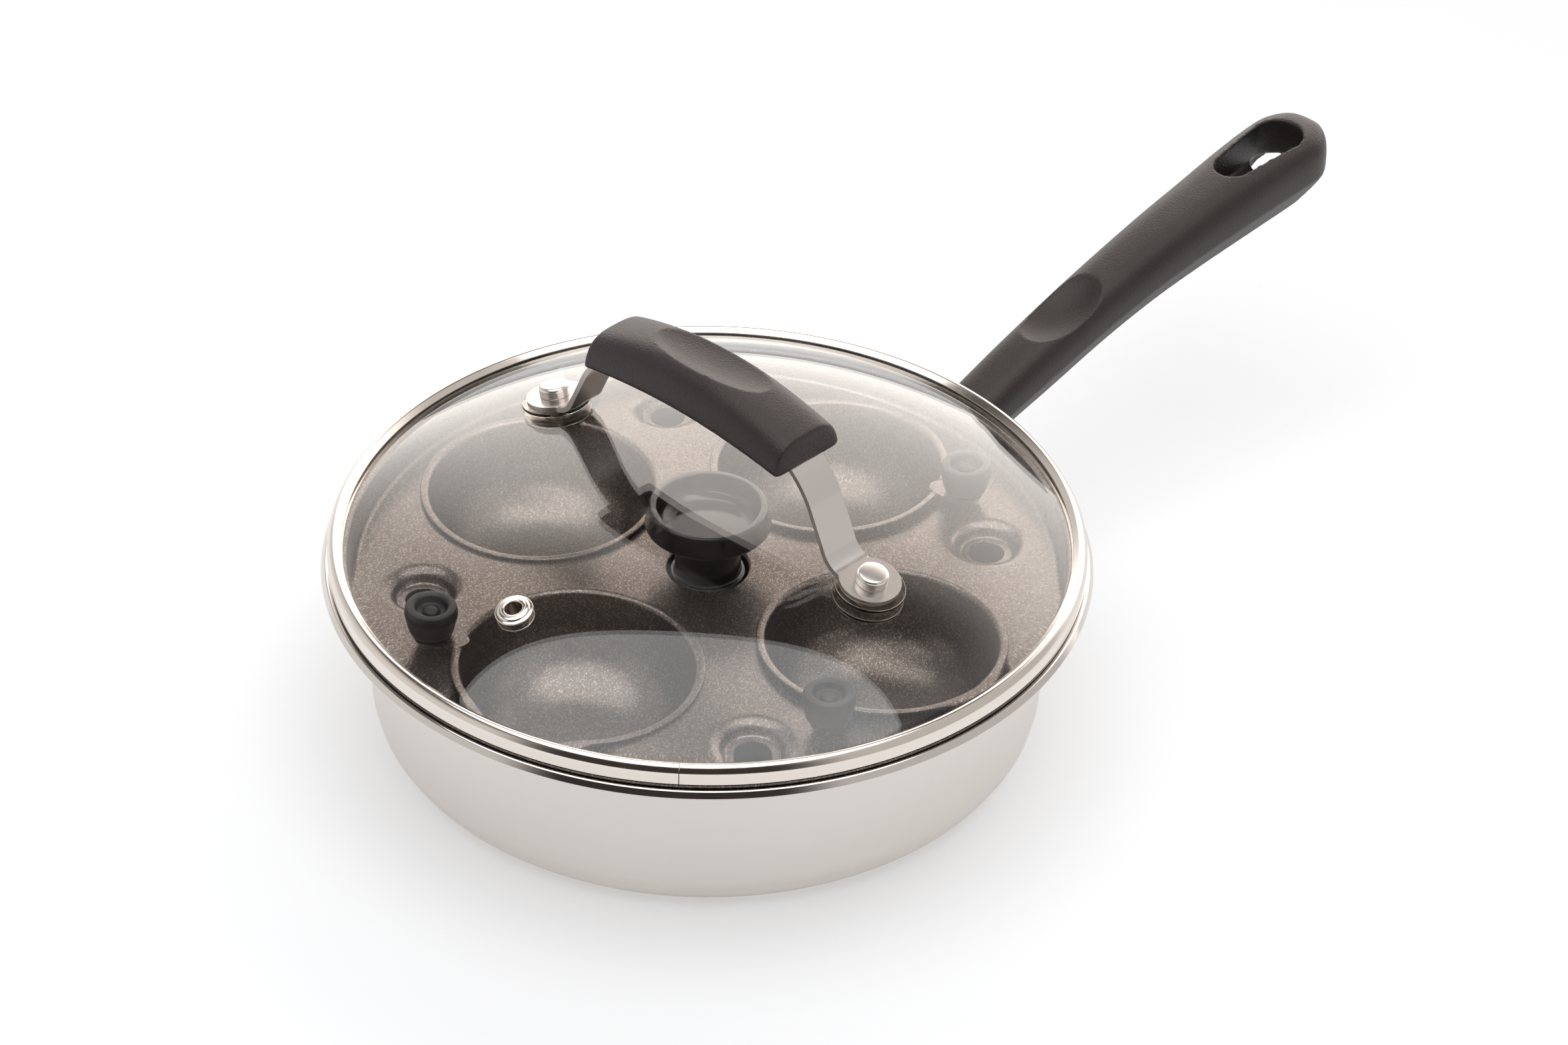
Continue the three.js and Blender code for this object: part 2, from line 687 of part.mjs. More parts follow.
bearings.forEach((bearing, i) => {
  const cup = new THREE.Group();
  const name = String(i + 1);
  const [x, y] = atBearing(cupPitchR, bearing);
  cup.position.set(x, y, cupZ);
  cup.rotation.set(0, -lean, THREE.MathUtils.degToRad(bearing + cupTurns[i]), "ZYX");
  cup.add(toMesh("egg_cup_" + name, cupSolid, nonStick()));
  const knob = toMesh("cup_knob_" + name, cupKnobSolid, satinBlack());
  knob.position.set(knobOffset, 0, seatGap);
  const rivet = toMesh("cup_rivet_" + name, cupRivetSolid, steel());
  rivet.position.set(knobOffset, 0, 0);
  cup.add(knob, rivet);
  tray.add(cup);
});

// Lid glass: a dome of toughened glass, drilled for the vent and the two rivets
const slopeAt = glassSlope(footR);
const footZ = glassTop(footR);
const domeShares = [0, 0.32, 0.54, 0.72, 0.87, 1];
const glassProfile = [
  ...domeShares.map((share) => [domeR * share, glassUnder(domeR * share)]),
  [glassR, glassUnderZ],
  [glassR, domeEdgeZ - glassEdgeDrop],
  ...domeShares.map((share) => [domeR * share, glassTop(domeR * share)]).reverse(),
];
const rivetAxis = (radius) =>
  placed(rod(radius, -softWasherR, softWasherR, smallTurn), -slopeAt, 0, footR, footZ);
const ventAt = [...atBearing(ventR, ventBearing), glassTop(ventR)];
const ventBore = rod(ventTubeR + shankGap, -ventTubeR - glassT - cutOver, cutOver, smallTurn)
  .rotate([0, THREE.MathUtils.radToDeg(glassSlope(ventR)), ventBearing])
  .translate(ventAt);
const glassSolid = revolve(glassProfile, bigTurn)
  .subtract(rivetAxis(lidRivetR + shankGap))
  .subtract(rivetAxis(lidRivetR + shankGap).rotate([0, 0, 180]))
  .subtract(ventBore);
lid.add(toMesh("lid_glass", glassSolid, clearGlass()));

// Lid band: a rolled steel rim that grips the edge of the glass
const beadZ = bandUnderZ + bandFace + bandGroove + beadR * 0.65;
const beadAt = bandR - beadR;
const lipEnd = beadAt - bandLip;
const bandProfile = [
  [glassR - bandLip, bandUnderZ],
  [bandR - bandSheet, bandUnderZ],
  [bandR, bandUnderZ + bandSheet],
  [bandR, bandUnderZ + bandFace],
  [bandR - bandGroove, bandUnderZ + bandFace + bandGroove / 2],
  ...arc(beadAt, beadZ, beadR, beadR, -35, 145, 5),
  [lipEnd, glassTop(lipEnd) + seatGap + bandSheet * 0.8],
  [lipEnd, glassTop(lipEnd) + seatGap],
  [domeR, domeEdgeZ + seatGap],
  [bandR - bandWall, domeEdgeZ - glassEdgeDrop + seatGap],
  [bandR - bandWall, bandUnderZ + bandSheet],
  [glassR - bandLip, bandUnderZ + bandSheet],
];
lid.add(toMesh("lid_band", revolve(bandProfile, bigTurn), steel()));

// Steam vent: an eyelet through the glass, square to it
const ventProfile = [
  [ventHoleR, ventLow - seatGap - ventFlangeT],
  [ventFlangeR, ventLow - seatGap - ventFlangeT],
  [ventFlangeR, ventLow - seatGap],
  [ventTubeR, ventLow - seatGap],
  [ventTubeR, seatGap],
  [ventFlangeR, seatGap],
  [ventFlangeR, seatGap + ventFlangeT],
  [ventTubeR + ventFlangeT, ventRise],
  [ventHoleR, ventRise],
];
const ventSeat = new THREE.Group();
ventSeat.position.set(...ventAt);
ventSeat.rotation.set(0, glassSlope(ventR), THREE.MathUtils.degToRad(ventBearing), "ZYX");
ventSeat.add(toMesh("vent_eyelet", revolve(ventProfile, smallTurn), steel()));
lid.add(ventSeat);

// Lid grip: a moulded bar with a hollow for the fingertips and a pocket for each strap
const gripRings = Array.from({ length: gripStations + 1 }, (_, s) => {
  const along = (2 * s) / gripStations - 1;
  const low = gripUnderZ - gripUnderFall * along * along;
  const top = gripTopZ - gripTopFall * along * along;
  const right = gripSectionShares.map(([x, z]) => [x * gripHalfWide, low + z * (top - low)]);
  const left = right.map(([x, z]) => [-x, z]).reverse();
  return [...right, ...left].map(([x, z]) => [x, along * gripHalf, z]).reverse();
});
const fingerDent = toSolid(
  new THREE.SphereGeometry(1, knobTurn, smallTurn)
    .rotateX(Math.PI / 2)
    .scale(dentHalfWide, dentHalfLong, dentHalfHigh)
    .translate(dentShift, dentAlong, gripTopZ),
);
const tongueZ = gripUnderZ + tongueSink;
const pocket = block(
  [-strapWidth / 2 - seatGap, strapWidth / 2 + seatGap],
  [tongueIn - seatGap, pocketEnd],
  [gripUnderZ - gripHeight, tongueZ + strapT / 2 + seatGap],
);
const gripBore = rod(
  gripScrewR + shankGap, gripUnderZ - gripHeight, tongueZ + strapT + gripScrewDepth, smallTurn,
);
const pocketAndBore = pocket.add(gripBore.translate([0, gripScrewAt, 0]));
const gripSolid = loft(gripRings)
  .subtract(fingerDent)
  .subtract(pocketAndBore)
  .subtract(pocketAndBore.rotate([0, 0, 180]));
lid.add(toMesh("lid_grip", gripSolid, phenolic()));

// Each side of the lid: strap, rivet, two soft washers and the grip's screw
const softLow = seatGap;
const strapLow = softLow + softWasherT + seatGap;
const headLow = strapLow + strapT + seatGap;
const tailTop = -glassT - underGap - softWasherT - seatGap;
const strapFootZ = footZ + (strapLow + strapT / 2) / Math.cos(slopeAt);
const strapRun = footR - tongueOut;
const strapDrop = tongueZ - strapFootZ;
const ankle = tongueOut + strapRun * ankleRunShare;
const strapPath = rounded(
  [
    [tongueIn, tongueZ],
    [tongueOut, tongueZ, strapT],
    [tongueOut + strapRun * kneeRunShare, tongueZ - strapDrop * kneeDropShare, strapBendR],
    [ankle, strapFootZ + (footR - ankle) * Math.tan(slopeAt), strapBendR],
    [footR, strapFootZ],
  ],
  3,
);
const strapFoot = placed(rod(strapFootR, strapLow, strapLow + strapT, cupTurn), -slopeAt, 0, footR, footZ);
const strapSolid = toSolid(strip(strapPath, strapT, strapWidth).applyMatrix4(runAlongY))
  .add(strapFoot)
  .subtract(rivetAxis(lidRivetR + shankGap))
  .subtract(rod(gripScrewR + shankGap, domeTopZ, gripTopZ, smallTurn).translate([0, gripScrewAt, 0]));
const softWasher = revolve(ringProfile(lidRivetR + shankGap, softWasherR, 0, softWasherT), cupTurn);
const lidRivet = revolve(
  [
    [0, tailTop - lidRivetTailT],
    [lidRivetTailR, tailTop - lidRivetTailT],
    [lidRivetTailR, tailTop],
    [lidRivetR, tailTop],
    [lidRivetR, headLow],
    [lidRivetHeadR, headLow],
    [lidRivetHeadR, headLow + lidRivetHeadT * 0.72],
    [lidRivetHeadR * 0.82, headLow + lidRivetHeadT],
    [0, headLow + lidRivetHeadT],
  ],
  smallTurn,
);
const tongueLowZ = tongueZ - strapT / 2 - seatGap;
const gripScrew = revolve(
  [
    [0, tongueLowZ - screwHeadT],
    [gripScrewHeadR, tongueLowZ - screwHeadT],
    [gripScrewHeadR, tongueLowZ],
    [gripScrewR, tongueLowZ],
    [gripScrewR, tongueZ + gripScrewDepth],
    [0, tongueZ + gripScrewDepth],
  ],
  smallTurn,
);
[0, Math.PI].forEach((turn, i) => {
  const side = new THREE.Group();
  side.rotation.z = turn;
  const name = String(i + 1);
  const stack = new THREE.Group();
  stack.position.set(0, footR, footZ);
  stack.rotation.x = -slopeAt;
  const upper = toMesh("upper_washer_" + name, softWasher, silicone());
  upper.position.z = softLow;
  const lower = toMesh("lower_washer_" + name, softWasher, silicone());
  lower.position.z = -glassT - underGap - softWasherT;
  stack.add(upper, lower, toMesh("lid_rivet_" + name, lidRivet, steel()));
  const screw = toMesh("grip_screw_" + name, gripScrew, steel());
  screw.position.y = gripScrewAt;
  side.add(stack, screw, toMesh("lid_strap_" + name, strapSolid, steel()));
  lid.add(side);
});

const poacher = new THREE.Group();
poacher.add(pan, tray, lid);

export default poacher;
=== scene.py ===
import json
import math

import bmesh
import bpy
from mathutils import Matrix, Vector

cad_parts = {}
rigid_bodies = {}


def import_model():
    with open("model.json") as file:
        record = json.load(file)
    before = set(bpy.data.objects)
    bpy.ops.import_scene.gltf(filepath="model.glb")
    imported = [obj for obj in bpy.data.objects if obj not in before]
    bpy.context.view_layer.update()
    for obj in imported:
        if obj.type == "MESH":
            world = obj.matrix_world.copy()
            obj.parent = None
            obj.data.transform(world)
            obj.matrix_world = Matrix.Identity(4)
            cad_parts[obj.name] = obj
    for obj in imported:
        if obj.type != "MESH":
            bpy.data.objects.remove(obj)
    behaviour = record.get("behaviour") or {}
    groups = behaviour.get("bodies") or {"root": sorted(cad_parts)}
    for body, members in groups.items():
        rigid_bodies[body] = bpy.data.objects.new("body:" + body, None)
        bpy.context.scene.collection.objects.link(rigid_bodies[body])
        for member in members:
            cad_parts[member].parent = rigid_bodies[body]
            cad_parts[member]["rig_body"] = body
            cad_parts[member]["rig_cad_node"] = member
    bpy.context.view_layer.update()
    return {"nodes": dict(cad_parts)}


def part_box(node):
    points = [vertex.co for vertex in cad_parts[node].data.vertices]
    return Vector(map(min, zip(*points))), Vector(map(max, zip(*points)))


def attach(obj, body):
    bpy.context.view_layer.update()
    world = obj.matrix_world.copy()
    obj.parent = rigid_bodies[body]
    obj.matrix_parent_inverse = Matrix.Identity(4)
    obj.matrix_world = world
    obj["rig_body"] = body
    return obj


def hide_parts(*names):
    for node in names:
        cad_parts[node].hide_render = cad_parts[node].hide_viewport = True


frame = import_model()
bpy.ops.object.select_all(action="DESELECT")
mm = 0.001


# Camera: a long lens from the front left, a little over a third of the way up from the floor to overhead.
camera_turn = math.radians(-46.33)
camera_rise = math.radians(35.73)
camera_roll = math.radians(1.376)
camera_place = (-0.69569, -0.69369, 0.77026)
focal_pixels = 6430.3
picture_width = 2353
bpy.ops.object.camera_add(location=camera_place)
camera = bpy.context.object
camera.matrix_world = (
    Matrix.Translation(camera_place)
    @ Matrix.Rotation(camera_turn, 4, "Z")
    @ Matrix.Rotation(math.pi / 2 - camera_rise, 4, "X")
    @ Matrix.Rotation(camera_roll, 4, "Z")
)
camera.data.sensor_width = 36
camera.data.lens = focal_pixels * camera.data.sensor_width / picture_width
bpy.context.scene.camera = camera
bpy.context.scene.view_settings.view_transform = "Standard"


# Studio: a white table in a pale room. The floor is matt laminate, lit so that it renders white away from the
# object's shadow. A backlit wall stands behind the pan, the ceiling is dark, and a wide round soft box hangs
# overhead.
def linear(hex_colour):
    channels = [int(hex_colour[i : i + 2], 16) / 255 for i in (1, 3, 5)]
    return tuple(c / 12.92 if c <= 0.04045 else ((c + 0.055) / 1.055) ** 2.4 for c in channels) + (1,)


def add_node(tree, kind, sockets=None, stops=(), **settings):
    """A node with its values and links, and the stops of its colour ramp as (place, colour)."""
    made = tree.nodes.new("ShaderNode" + kind)
    for name, value in settings.items():
        setattr(made, name, value)
    for name, value in (sockets or {}).items():
        if isinstance(value, bpy.types.NodeSocket):
            tree.links.new(value, made.inputs[name])
        else:
            made.inputs[name].default_value = value
    if stops:
        elements = made.color_ramp.elements
        while len(elements) < len(stops):
            elements.new(0.5)
        for element, (place, colour) in zip(elements, stops):
            element.position = place
            element.color = linear(colour)
    return made


floor_pale, floor_lift, floor_side = "#C1C6CB", 0.43, 6
bpy.ops.mesh.primitive_plane_add(size=floor_side)
floor = bpy.context.object
floor.name = "floor"
floor_finish = bpy.data.materials.new("matt pale laminate")
floor_finish.use_nodes = True
tree = floor_finish.node_tree
tree.nodes.clear()
path = add_node(tree, "LightPath")
seen = path.outputs["Is Camera Ray"]
for ray in ("Is Glossy Ray", "Is Transmission Ray"):
    seen = add_node(tree, "Math", {0: seen, 1: path.outputs[ray]}, operation="MAXIMUM").outputs[0]
lift = add_node(tree, "Math", {0: seen, 1: floor_lift}, operation="MULTIPLY")
matt = add_node(tree, "BsdfDiffuse", {"Color": linear(floor_pale)})
glow = add_node(tree, "Emission", {"Color": linear("#FFFAF6"), "Strength": lift.outputs[0]})
both = add_node(tree, "AddShader", {0: matt.outputs[0], 1: glow.outputs[0]})
add_node(tree, "OutputMaterial", {"Surface": both.outputs[0]})
floor.data.materials.append(floor_finish)

world = bpy.data.worlds.new("studio")
bpy.context.scene.world = world
world.use_nodes = True
tree = world.node_tree
tree.nodes.clear()
direction = add_node(tree, "TexCoord")
height = add_node(tree, "SeparateXYZ", {"Vector": direction.outputs["Generated"]})
level = add_node(tree, "CombineXYZ", {0: height.outputs["X"], 1: height.outputs["Y"], 2: 0.0})
level = add_node(tree, "VectorMath", {0: level.outputs[0]}, operation="NORMALIZE")


def towards(turn, edge, full):
    """How much of a side of the room is seen, by the cosine of the turn away from its middle."""
    middle = (math.cos(math.radians(turn)), math.sin(math.radians(turn)), 0)
    turned_away = add_node(tree, "VectorMath", {0: level.outputs[0], 1: middle}, operation="DOT_PRODUCT")
    limits = {"Value": turned_away.outputs["Value"], "From Min": edge, "From Max": full}
    return add_node(tree, "MapRange", limits, interpolation_type="SMOOTHSTEP").outputs[0]


walls_and_ceiling = [(0.0, "#FCFAF8"), (0.5, "#DCD9D6"), (0.7, "#5C5957"), (0.9, "#5C5957"), (1.0, "#6E6A68")]
room = add_node(tree, "ValToRGB", {"Fac": height.outputs["Z"]}, walls_and_ceiling)
# The side wall on the right is pale all the way up, and the end behind the photographer is unlit.
pale_side = {"Factor": towards(-62, 0.4, 0.68), "A": room.outputs["Color"], "B": linear("#D8D5D3")}
room = add_node(tree, "Mix", pale_side, data_type="RGBA").outputs["Result"]
above = add_node(tree, "MapRange", {"Value": height.outputs["Z"], "From Min": 0.0, "From Max": 0.06})
unlit = add_node(tree, "Math", {0: towards(215, 0.62, 0.86), 1: above.outputs[0]}, operation="MULTIPLY")
unlit_end = {"Factor": unlit.outputs[0], "A": room, "B": linear("#3F3A38")}
room = add_node(tree, "Mix", unlit_end, data_type="RGBA").outputs["Result"]
# The backlit wall fades out at its sides and towards its top.
fade = {"Value": height.outputs["Z"], "From Min": 0.58, "From Max": 0.8, "To Min": 2.0, "To Max": 0.0}
upward = add_node(tree, "MapRange", fade, interpolation_type="SMOOTHSTEP")
wall = add_node(tree, "Math", {0: towards(28, 0.6, 0.92), 1: upward.outputs[0]}, operation="MULTIPLY")
path = add_node(tree, "LightPath")
lit = add_node(tree, "Background", {"Color": room, "Strength": 0.9})
backlit = add_node(tree, "Background", {"Color": linear("#FFF7F0"), "Strength": wall.outputs[0]})
lit = add_node(tree, "AddShader", {0: lit.outputs[0], 1: backlit.outputs[0]})
plain = add_node(tree, "Background", {"Color": linear("#FFFFFF"), "Strength": 1.0})
sky = add_node(tree, "MixShader", {0: path.outputs["Is Camera Ray"], 1: lit.outputs[0], 2: plain.outputs[0]})
add_node(tree, "OutputWorld", {"Surface": sky.outputs[0]})


bpy.ops.object.light_add(type="AREA", location=(-0.42, -0.1, 1.8))
lamp = bpy.context.object
lamp.name = "round soft box"
lamp.data.shape = "DISK"
lamp.data.size = 2.5
lamp.data.energy = 31


# Pan body: one disc of stainless steel, deep drawn, with a stepped collar for the tray and a rolled rim that
# slopes outwards. The wall is brushed round its axis and the rim is polished.
def near(piece, points):
    mesh = bmesh.from_edit_mesh(piece.data)
    for vertex in mesh.verts:
        vertex.select_set(False)
    for r, z in points:
        place = Vector((r * mm, 0, z * mm))
        min(mesh.verts, key=lambda vertex: (vertex.co - place).length).select_set(True)
    mesh.select_flush_mode()
    bmesh.update_edit_mesh(piece.data)


def draw_outline(name, outline, closed, segments):
    """A wire in the plane of X and Z, from points (x, z) or, where a corner is rounded, (x, z, reach)."""
    bpy.ops.object.select_all(action="DESELECT")
    bpy.ops.mesh.primitive_plane_add(size=mm)
    piece = bpy.context.object
    piece.name = piece.data.name = name
    bpy.ops.object.mode_set(mode="EDIT")
    bpy.ops.mesh.select_mode(type="VERT")
    bpy.ops.mesh.select_all(action="SELECT")
    bpy.ops.mesh.merge(type="CENTER")
    x, z = outline[0][:2]
    bpy.ops.transform.translate(value=(x * mm, 0, z * mm))
    for point in outline[1:]:
        step = ((point[0] - x) * mm, 0, (point[1] - z) * mm)
        bpy.ops.mesh.extrude_region_move(TRANSFORM_OT_translate={"value": step})
        x, z = point[:2]
    if closed:
        near(piece, [outline[0][:2], outline[-1][:2]])
        bpy.ops.mesh.edge_face_add()
    for point in outline:
        if len(point) > 2:
            near(piece, [point[:2]])
            bpy.ops.mesh.bevel(offset=point[2] * mm, segments=segments, affect="VERTICES")
    bpy.ops.mesh.select_all(action="SELECT")
    return piece


def select_only(*pieces):
    bpy.ops.object.select_all(action="DESELECT")
    for piece in pieces:
        piece.select_set(True)
    bpy.context.view_layer.objects.active = pieces[0]


def apply_modifier(piece, kind, **settings):
    select_only(piece)
    bpy.ops.object.modifier_add(type=kind)
    modifier = piece.modifiers[-1]
    for name, value in settings.items():
        setattr(modifier, name, value)
    bpy.ops.object.modifier_apply(modifier=modifier.name)


def settle(piece, sharp=35):
    """Smooths a finished piece, keeps its crisp edges and lets its large faces lead the shading."""
    select_only(piece)
    bpy.ops.object.shade_smooth_by_angle(angle=math.radians(sharp))
    apply_modifier(piece, "WEIGHTED_NORMAL", keep_sharp=True)


def turned(name, outline, closed=False, steps=160, segments=5):
    piece = draw_outline(name, outline, closed, segments)
    bpy.ops.mesh.spin(steps=steps, angle=math.tau, center=(0, 0, 0), axis=(0, 0, 1))
    bpy.ops.mesh.select_all(action="SELECT")
    bpy.ops.mesh.remove_doubles(threshold=0.002 * mm)
    bpy.ops.mesh.normals_make_consistent(inside=False)
    bpy.ops.object.mode_set(mode="OBJECT")
    settle(piece)
    return piece


def dress(piece, finish, body, slot, *nodes):
    piece.data.materials.clear()
    piece.data.materials.append(finish)
    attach(piece, body)
    if nodes:
        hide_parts(*nodes)


rim_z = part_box("pan_body")[1].z / mm
rim_r, pan_sheet = 109.5, 0.8
flange_z = rim_z - pan_sheet
pan_outline = [
    (0, 0), (60, 0), (95.9, 0, 12), (98, 43.5, 1.6), (102.6, 46.5, 1.6), (102.6, flange_z, 0.8),
    (106.0, flange_z, 0.3), (106.4, rim_z - 1.8, 0.5), (rim_r, rim_z - 1.8, 0.25), (rim_r - 1.3, rim_z, 0.35),
    (101.8, rim_z, 1.5), (101.8, 47, 1.4), (97.15, 44, 1.4), (95.1, pan_sheet, 11.2), (60, pan_sheet),
    (0, pan_sheet),
]
pan = turned("pan", pan_outline, steps=288)

def new_finish(name):
    made = bpy.data.materials.new(name)
    made.use_nodes = True
    return made, made.node_tree, made.node_tree.nodes["Principled BSDF"]


brushed_steel, tree, steel = new_finish("brushed stainless steel")
steel.inputs["Base Color"].default_value = linear("#DDD7D2")
steel.inputs["Metallic"].default_value = 1
# The brush runs round the pan, so a stroke is long round the axis and about half a millimetre wide across it.
place = add_node(tree, "TexCoord")
parts = add_node(tree, "SeparateXYZ", {0: place.outputs["Object"]})
flat = add_node(tree, "CombineXYZ", {0: parts.outputs[0], 1: parts.outputs[1], 2: 0.0})
radius = add_node(tree, "VectorMath", {0: flat.outputs[0]}, operation="LENGTH")
across = add_node(tree, "Math", {0: radius.outputs["Value"], 1: parts.outputs[2]}, operation="ADD")
stroke = add_node(tree, "CombineXYZ", {0: parts.outputs[0], 1: parts.outputs[1], 2: across.outputs[0]})
stretched = add_node(tree, "Mapping", {"Vector": stroke.outputs[0], "Scale": (12, 12, 2200)})
strokes = {"Scale": 1.0, "Detail": 3.0, "Roughness": 0.6}
grain = add_node(tree, "TexNoise", {"Vector": stretched.outputs[0], **strokes})
worn = add_node(tree, "MapRange", {"Value": grain.outputs["Fac"], "To Min": 0.24, "To Max": 0.42})
rim_start = {"From Min": (rim_z - 1.7) * mm, "From Max": (rim_z - 1.5) * mm}
rim = add_node(tree, "MapRange", {"Value": parts.outputs[2], **rim_start, "To Min": 1.0, "To Max": 0.3})
worn = add_node(tree, "Math", {0: worn.outputs[0], 1: rim.outputs[0]}, operation="MULTIPLY")
tree.links.new(worn.outputs[0], steel.inputs["Roughness"])
relief = add_node(tree, "Bump", {"Height": grain.outputs["Fac"], "Strength": 0.12, "Distance": 0.05 * mm})
tree.links.new(relief.outputs[0], steel.inputs["Normal"])
dress(pan, brushed_steel, "pan", "brushed_stainless", "pan_body")


# Handle bracket and its screw: a stainless foot welded to the wall, whose tang runs into the handle, and one
# pan-head screw from below. Polished, with the burr taken off the edges.
polished_steel, tree, steel = new_finish("polished stainless steel")
steel.inputs["Base Color"].default_value = linear("#E2DAD2")
steel.inputs["Metallic"].default_value = 1
place = add_node(tree, "TexCoord")
haze = add_node(tree, "TexNoise", {"Vector": place.outputs["Object"], "Scale": 260.0, "Detail": 4.0})
worn = add_node(tree, "MapRange", {"Value": haze.outputs["Fac"], "To Min": 0.08, "To Max": 0.2})
tree.links.new(worn.outputs[0], steel.inputs["Roughness"])


def eased_copy(node, name, width, segments=2):
    """A copy of a CAD node with its edges eased."""
    source = frame["nodes"][node]
    source.hide_viewport = False
    select_only(source)
    bpy.ops.object.duplicate()
    piece = bpy.context.object
    piece.name = piece.data.name = name
    piece.hide_render = False
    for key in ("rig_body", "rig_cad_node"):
        if key in piece:
            del piece[key]
    bpy.ops.object.mode_set(mode="EDIT")
    bpy.ops.mesh.select_all(action="SELECT")
    bpy.ops.mesh.remove_doubles(threshold=0.002 * mm)
    bpy.ops.mesh.dissolve_limited(angle_limit=math.radians(2))
    bpy.ops.object.mode_set(mode="OBJECT")
    edge = {"limit_method": "ANGLE", "angle_limit": math.radians(50)}
    apply_modifier(piece, "BEVEL", width=width * mm, segments=segments, **edge)
    settle(piece, 40)
    return piece


bracket = eased_copy("handle_bracket", "bracket", 0.25)
dress(bracket, polished_steel, "pan", "polished_stainless", "handle_bracket")
bracket_screw = eased_copy("handle_screw", "bracket_screw", 0.3)
dress(bracket_screw, polished_steel, "pan", "polished_stainless", "handle_screw")


# Long handle: compression-moulded phenolic with a fine moulded grain, hollowed for the thumb, with a slot to hang
# it by. Cross-sections are stretched along it, the hollow, slot and hole are cut, and the edges are rounded.
moulded_phenolic, tree, resin = new_finish("grained black phenolic")
resin.inputs["IOR"].default_value = 1.52
resin.inputs["Specular Tint"].default_value = linear("#FFF0EE")
resin.inputs["Roughness"].default_value = 0.4
place = add_node(tree, "TexCoord")
fine = {"Scale": 1800.0, "Detail": 2.0, "Roughness": 0.7}
grit = add_node(tree, "TexNoise", {"Vector": place.outputs["Object"], **fine})
cloud = add_node(tree, "TexNoise", {"Vector": place.outputs["Object"], "Scale": 60.0, "Detail": 3.0})
shade = add_node(tree, "ValToRGB", {"Fac": cloud.outputs["Fac"]}, [(0.3, "#1E1A1A"), (0.7, "#262120")])
tree.links.new(shade.outputs["Color"], resin.inputs["Base Color"])
relief = add_node(tree, "Bump", {"Height": grit.outputs["Fac"], "Strength": 0.9, "Distance": 0.2 * mm})
tree.links.new(relief.outputs[0], resin.inputs["Normal"])

neck_x, run_end_x, end_r, end_half_wide = 103.5, 254.5, 13.9, 13.9
climb_low, climb_high = 34, 88.5
# place along the run, underside and top as shares of the climb, half width as a share of the end's
handle_shares = [
    (0, 0, 0.33, 0.68), (0.056, 0.12, 0.4, 0.68), (0.11, 0.172, 0.452, 0.685), (0.176, 0.218, 0.52, 0.695),
    (0.255, 0.275, 0.59, 0.71), (0.345, 0.352, 0.665, 0.73), (0.44, 0.416, 0.735, 0.755),
    (0.535, 0.472, 0.8, 0.784), (0.64, 0.514, 0.865, 0.828), (0.735, 0.545, 0.91, 0.87),
    (0.83, 0.575, 0.955, 0.918), (0.915, 0.6, 0.983, 0.957), (1, 0.63, 1, 1),
]
section_power, tip_edge_r = 0.7, 5.5
squared_from, squared_over, squaring = 215, 35, 0.22


def combine(piece, tool, operation="DIFFERENCE"):
    """Cuts the tool out of the piece, or joins it on, and removes the tool."""
    apply_modifier(piece, "BOOLEAN", operation=operation, solver="EXACT", object=tool)
    bpy.data.objects.remove(tool)


def apply_place(piece):
    select_only(piece)
    bpy.ops.object.transform_apply(location=True, rotation=True, scale=True)


def stretched_bar(name, section, stations):
    """A section of (y, z) shares drawn out along X through stations of (x, low, high, half width)."""
    bpy.ops.object.select_all(action="DESELECT")
    bpy.ops.mesh.primitive_circle_add(vertices=len(section), radius=mm)
    piece = bpy.context.object
    piece.name = piece.data.name = name
    x, low, high, half_wide = stations[0]
    for vertex, (y_share, z_share) in zip(piece.data.vertices, section):
        vertex.co = Vector((x, y_share * half_wide, low + z_share * (high - low))) * mm
    bpy.ops.object.mode_set(mode="EDIT")
    bpy.ops.mesh.select_mode(type="EDGE")
    bpy.ops.mesh.select_all(action="SELECT")
    for next_x, next_low, next_high, next_wide in stations[1:]:
        step = ((next_x - x) * mm, 0, (next_low - low) * mm)
        bpy.ops.mesh.extrude_edges_move(TRANSFORM_OT_translate={"value": step})
        bpy.ops.transform.resize(
            value=(1, next_wide / half_wide, (next_high - next_low) / (high - low)),
            center_override=(next_x * mm, 0, next_low * mm),
        )
        x, low, high, half_wide = next_x, next_low, next_high, next_wide
    bpy.ops.mesh.select_all(action="SELECT")
    bpy.ops.mesh.fill_holes(sides=0)
    bpy.ops.mesh.normals_make_consistent(inside=False)
    bpy.ops.object.mode_set(mode="OBJECT")
    return piece


def superellipse(power, count):
    turns = [math.pi * i / count for i in range(count + 1)]
    return [(math.copysign(abs(math.cos(t)) ** power, math.cos(t)), math.sin(t) ** power) for t in turns]


facet_share, foot_share = 0.34, 0.78
handle_section = [(-foot_share, 0), (-foot_share, 0), (0, 0), (foot_share, 0), (foot_share, 0),
                  (1, facet_share)]
handle_section += [(y, facet_share + z * (1 - facet_share)) for y, z in superellipse(section_power, 20)]
handle_section.append((-1, facet_share))
climb = climb_high - climb_low
stations = [
    (neck_x + (run_end_x - neck_x) * run, climb_low + climb * low, climb_low + climb * high,
     end_half_wide * wide)
    for run, low, high, wide in handle_shares
]
end_low_share, end_high_share = handle_shares[-1][1:3]
for degrees in (18, 34, 48, 60, 70, 78, 84):
    across, along = math.cos(math.radians(degrees)), math.sin(math.radians(degrees))
    inward = max(tip_edge_r - end_r * (1 - along), 0)
    stations.append((
        run_end_x + end_r * along,
        climb_low + climb * end_low_share,
        climb_low + climb * end_high_share - tip_edge_r + math.sqrt(tip_edge_r**2 - inward**2),
        end_half_wide * across,
    ))
handle = stretched_bar("handle", handle_section, stations)
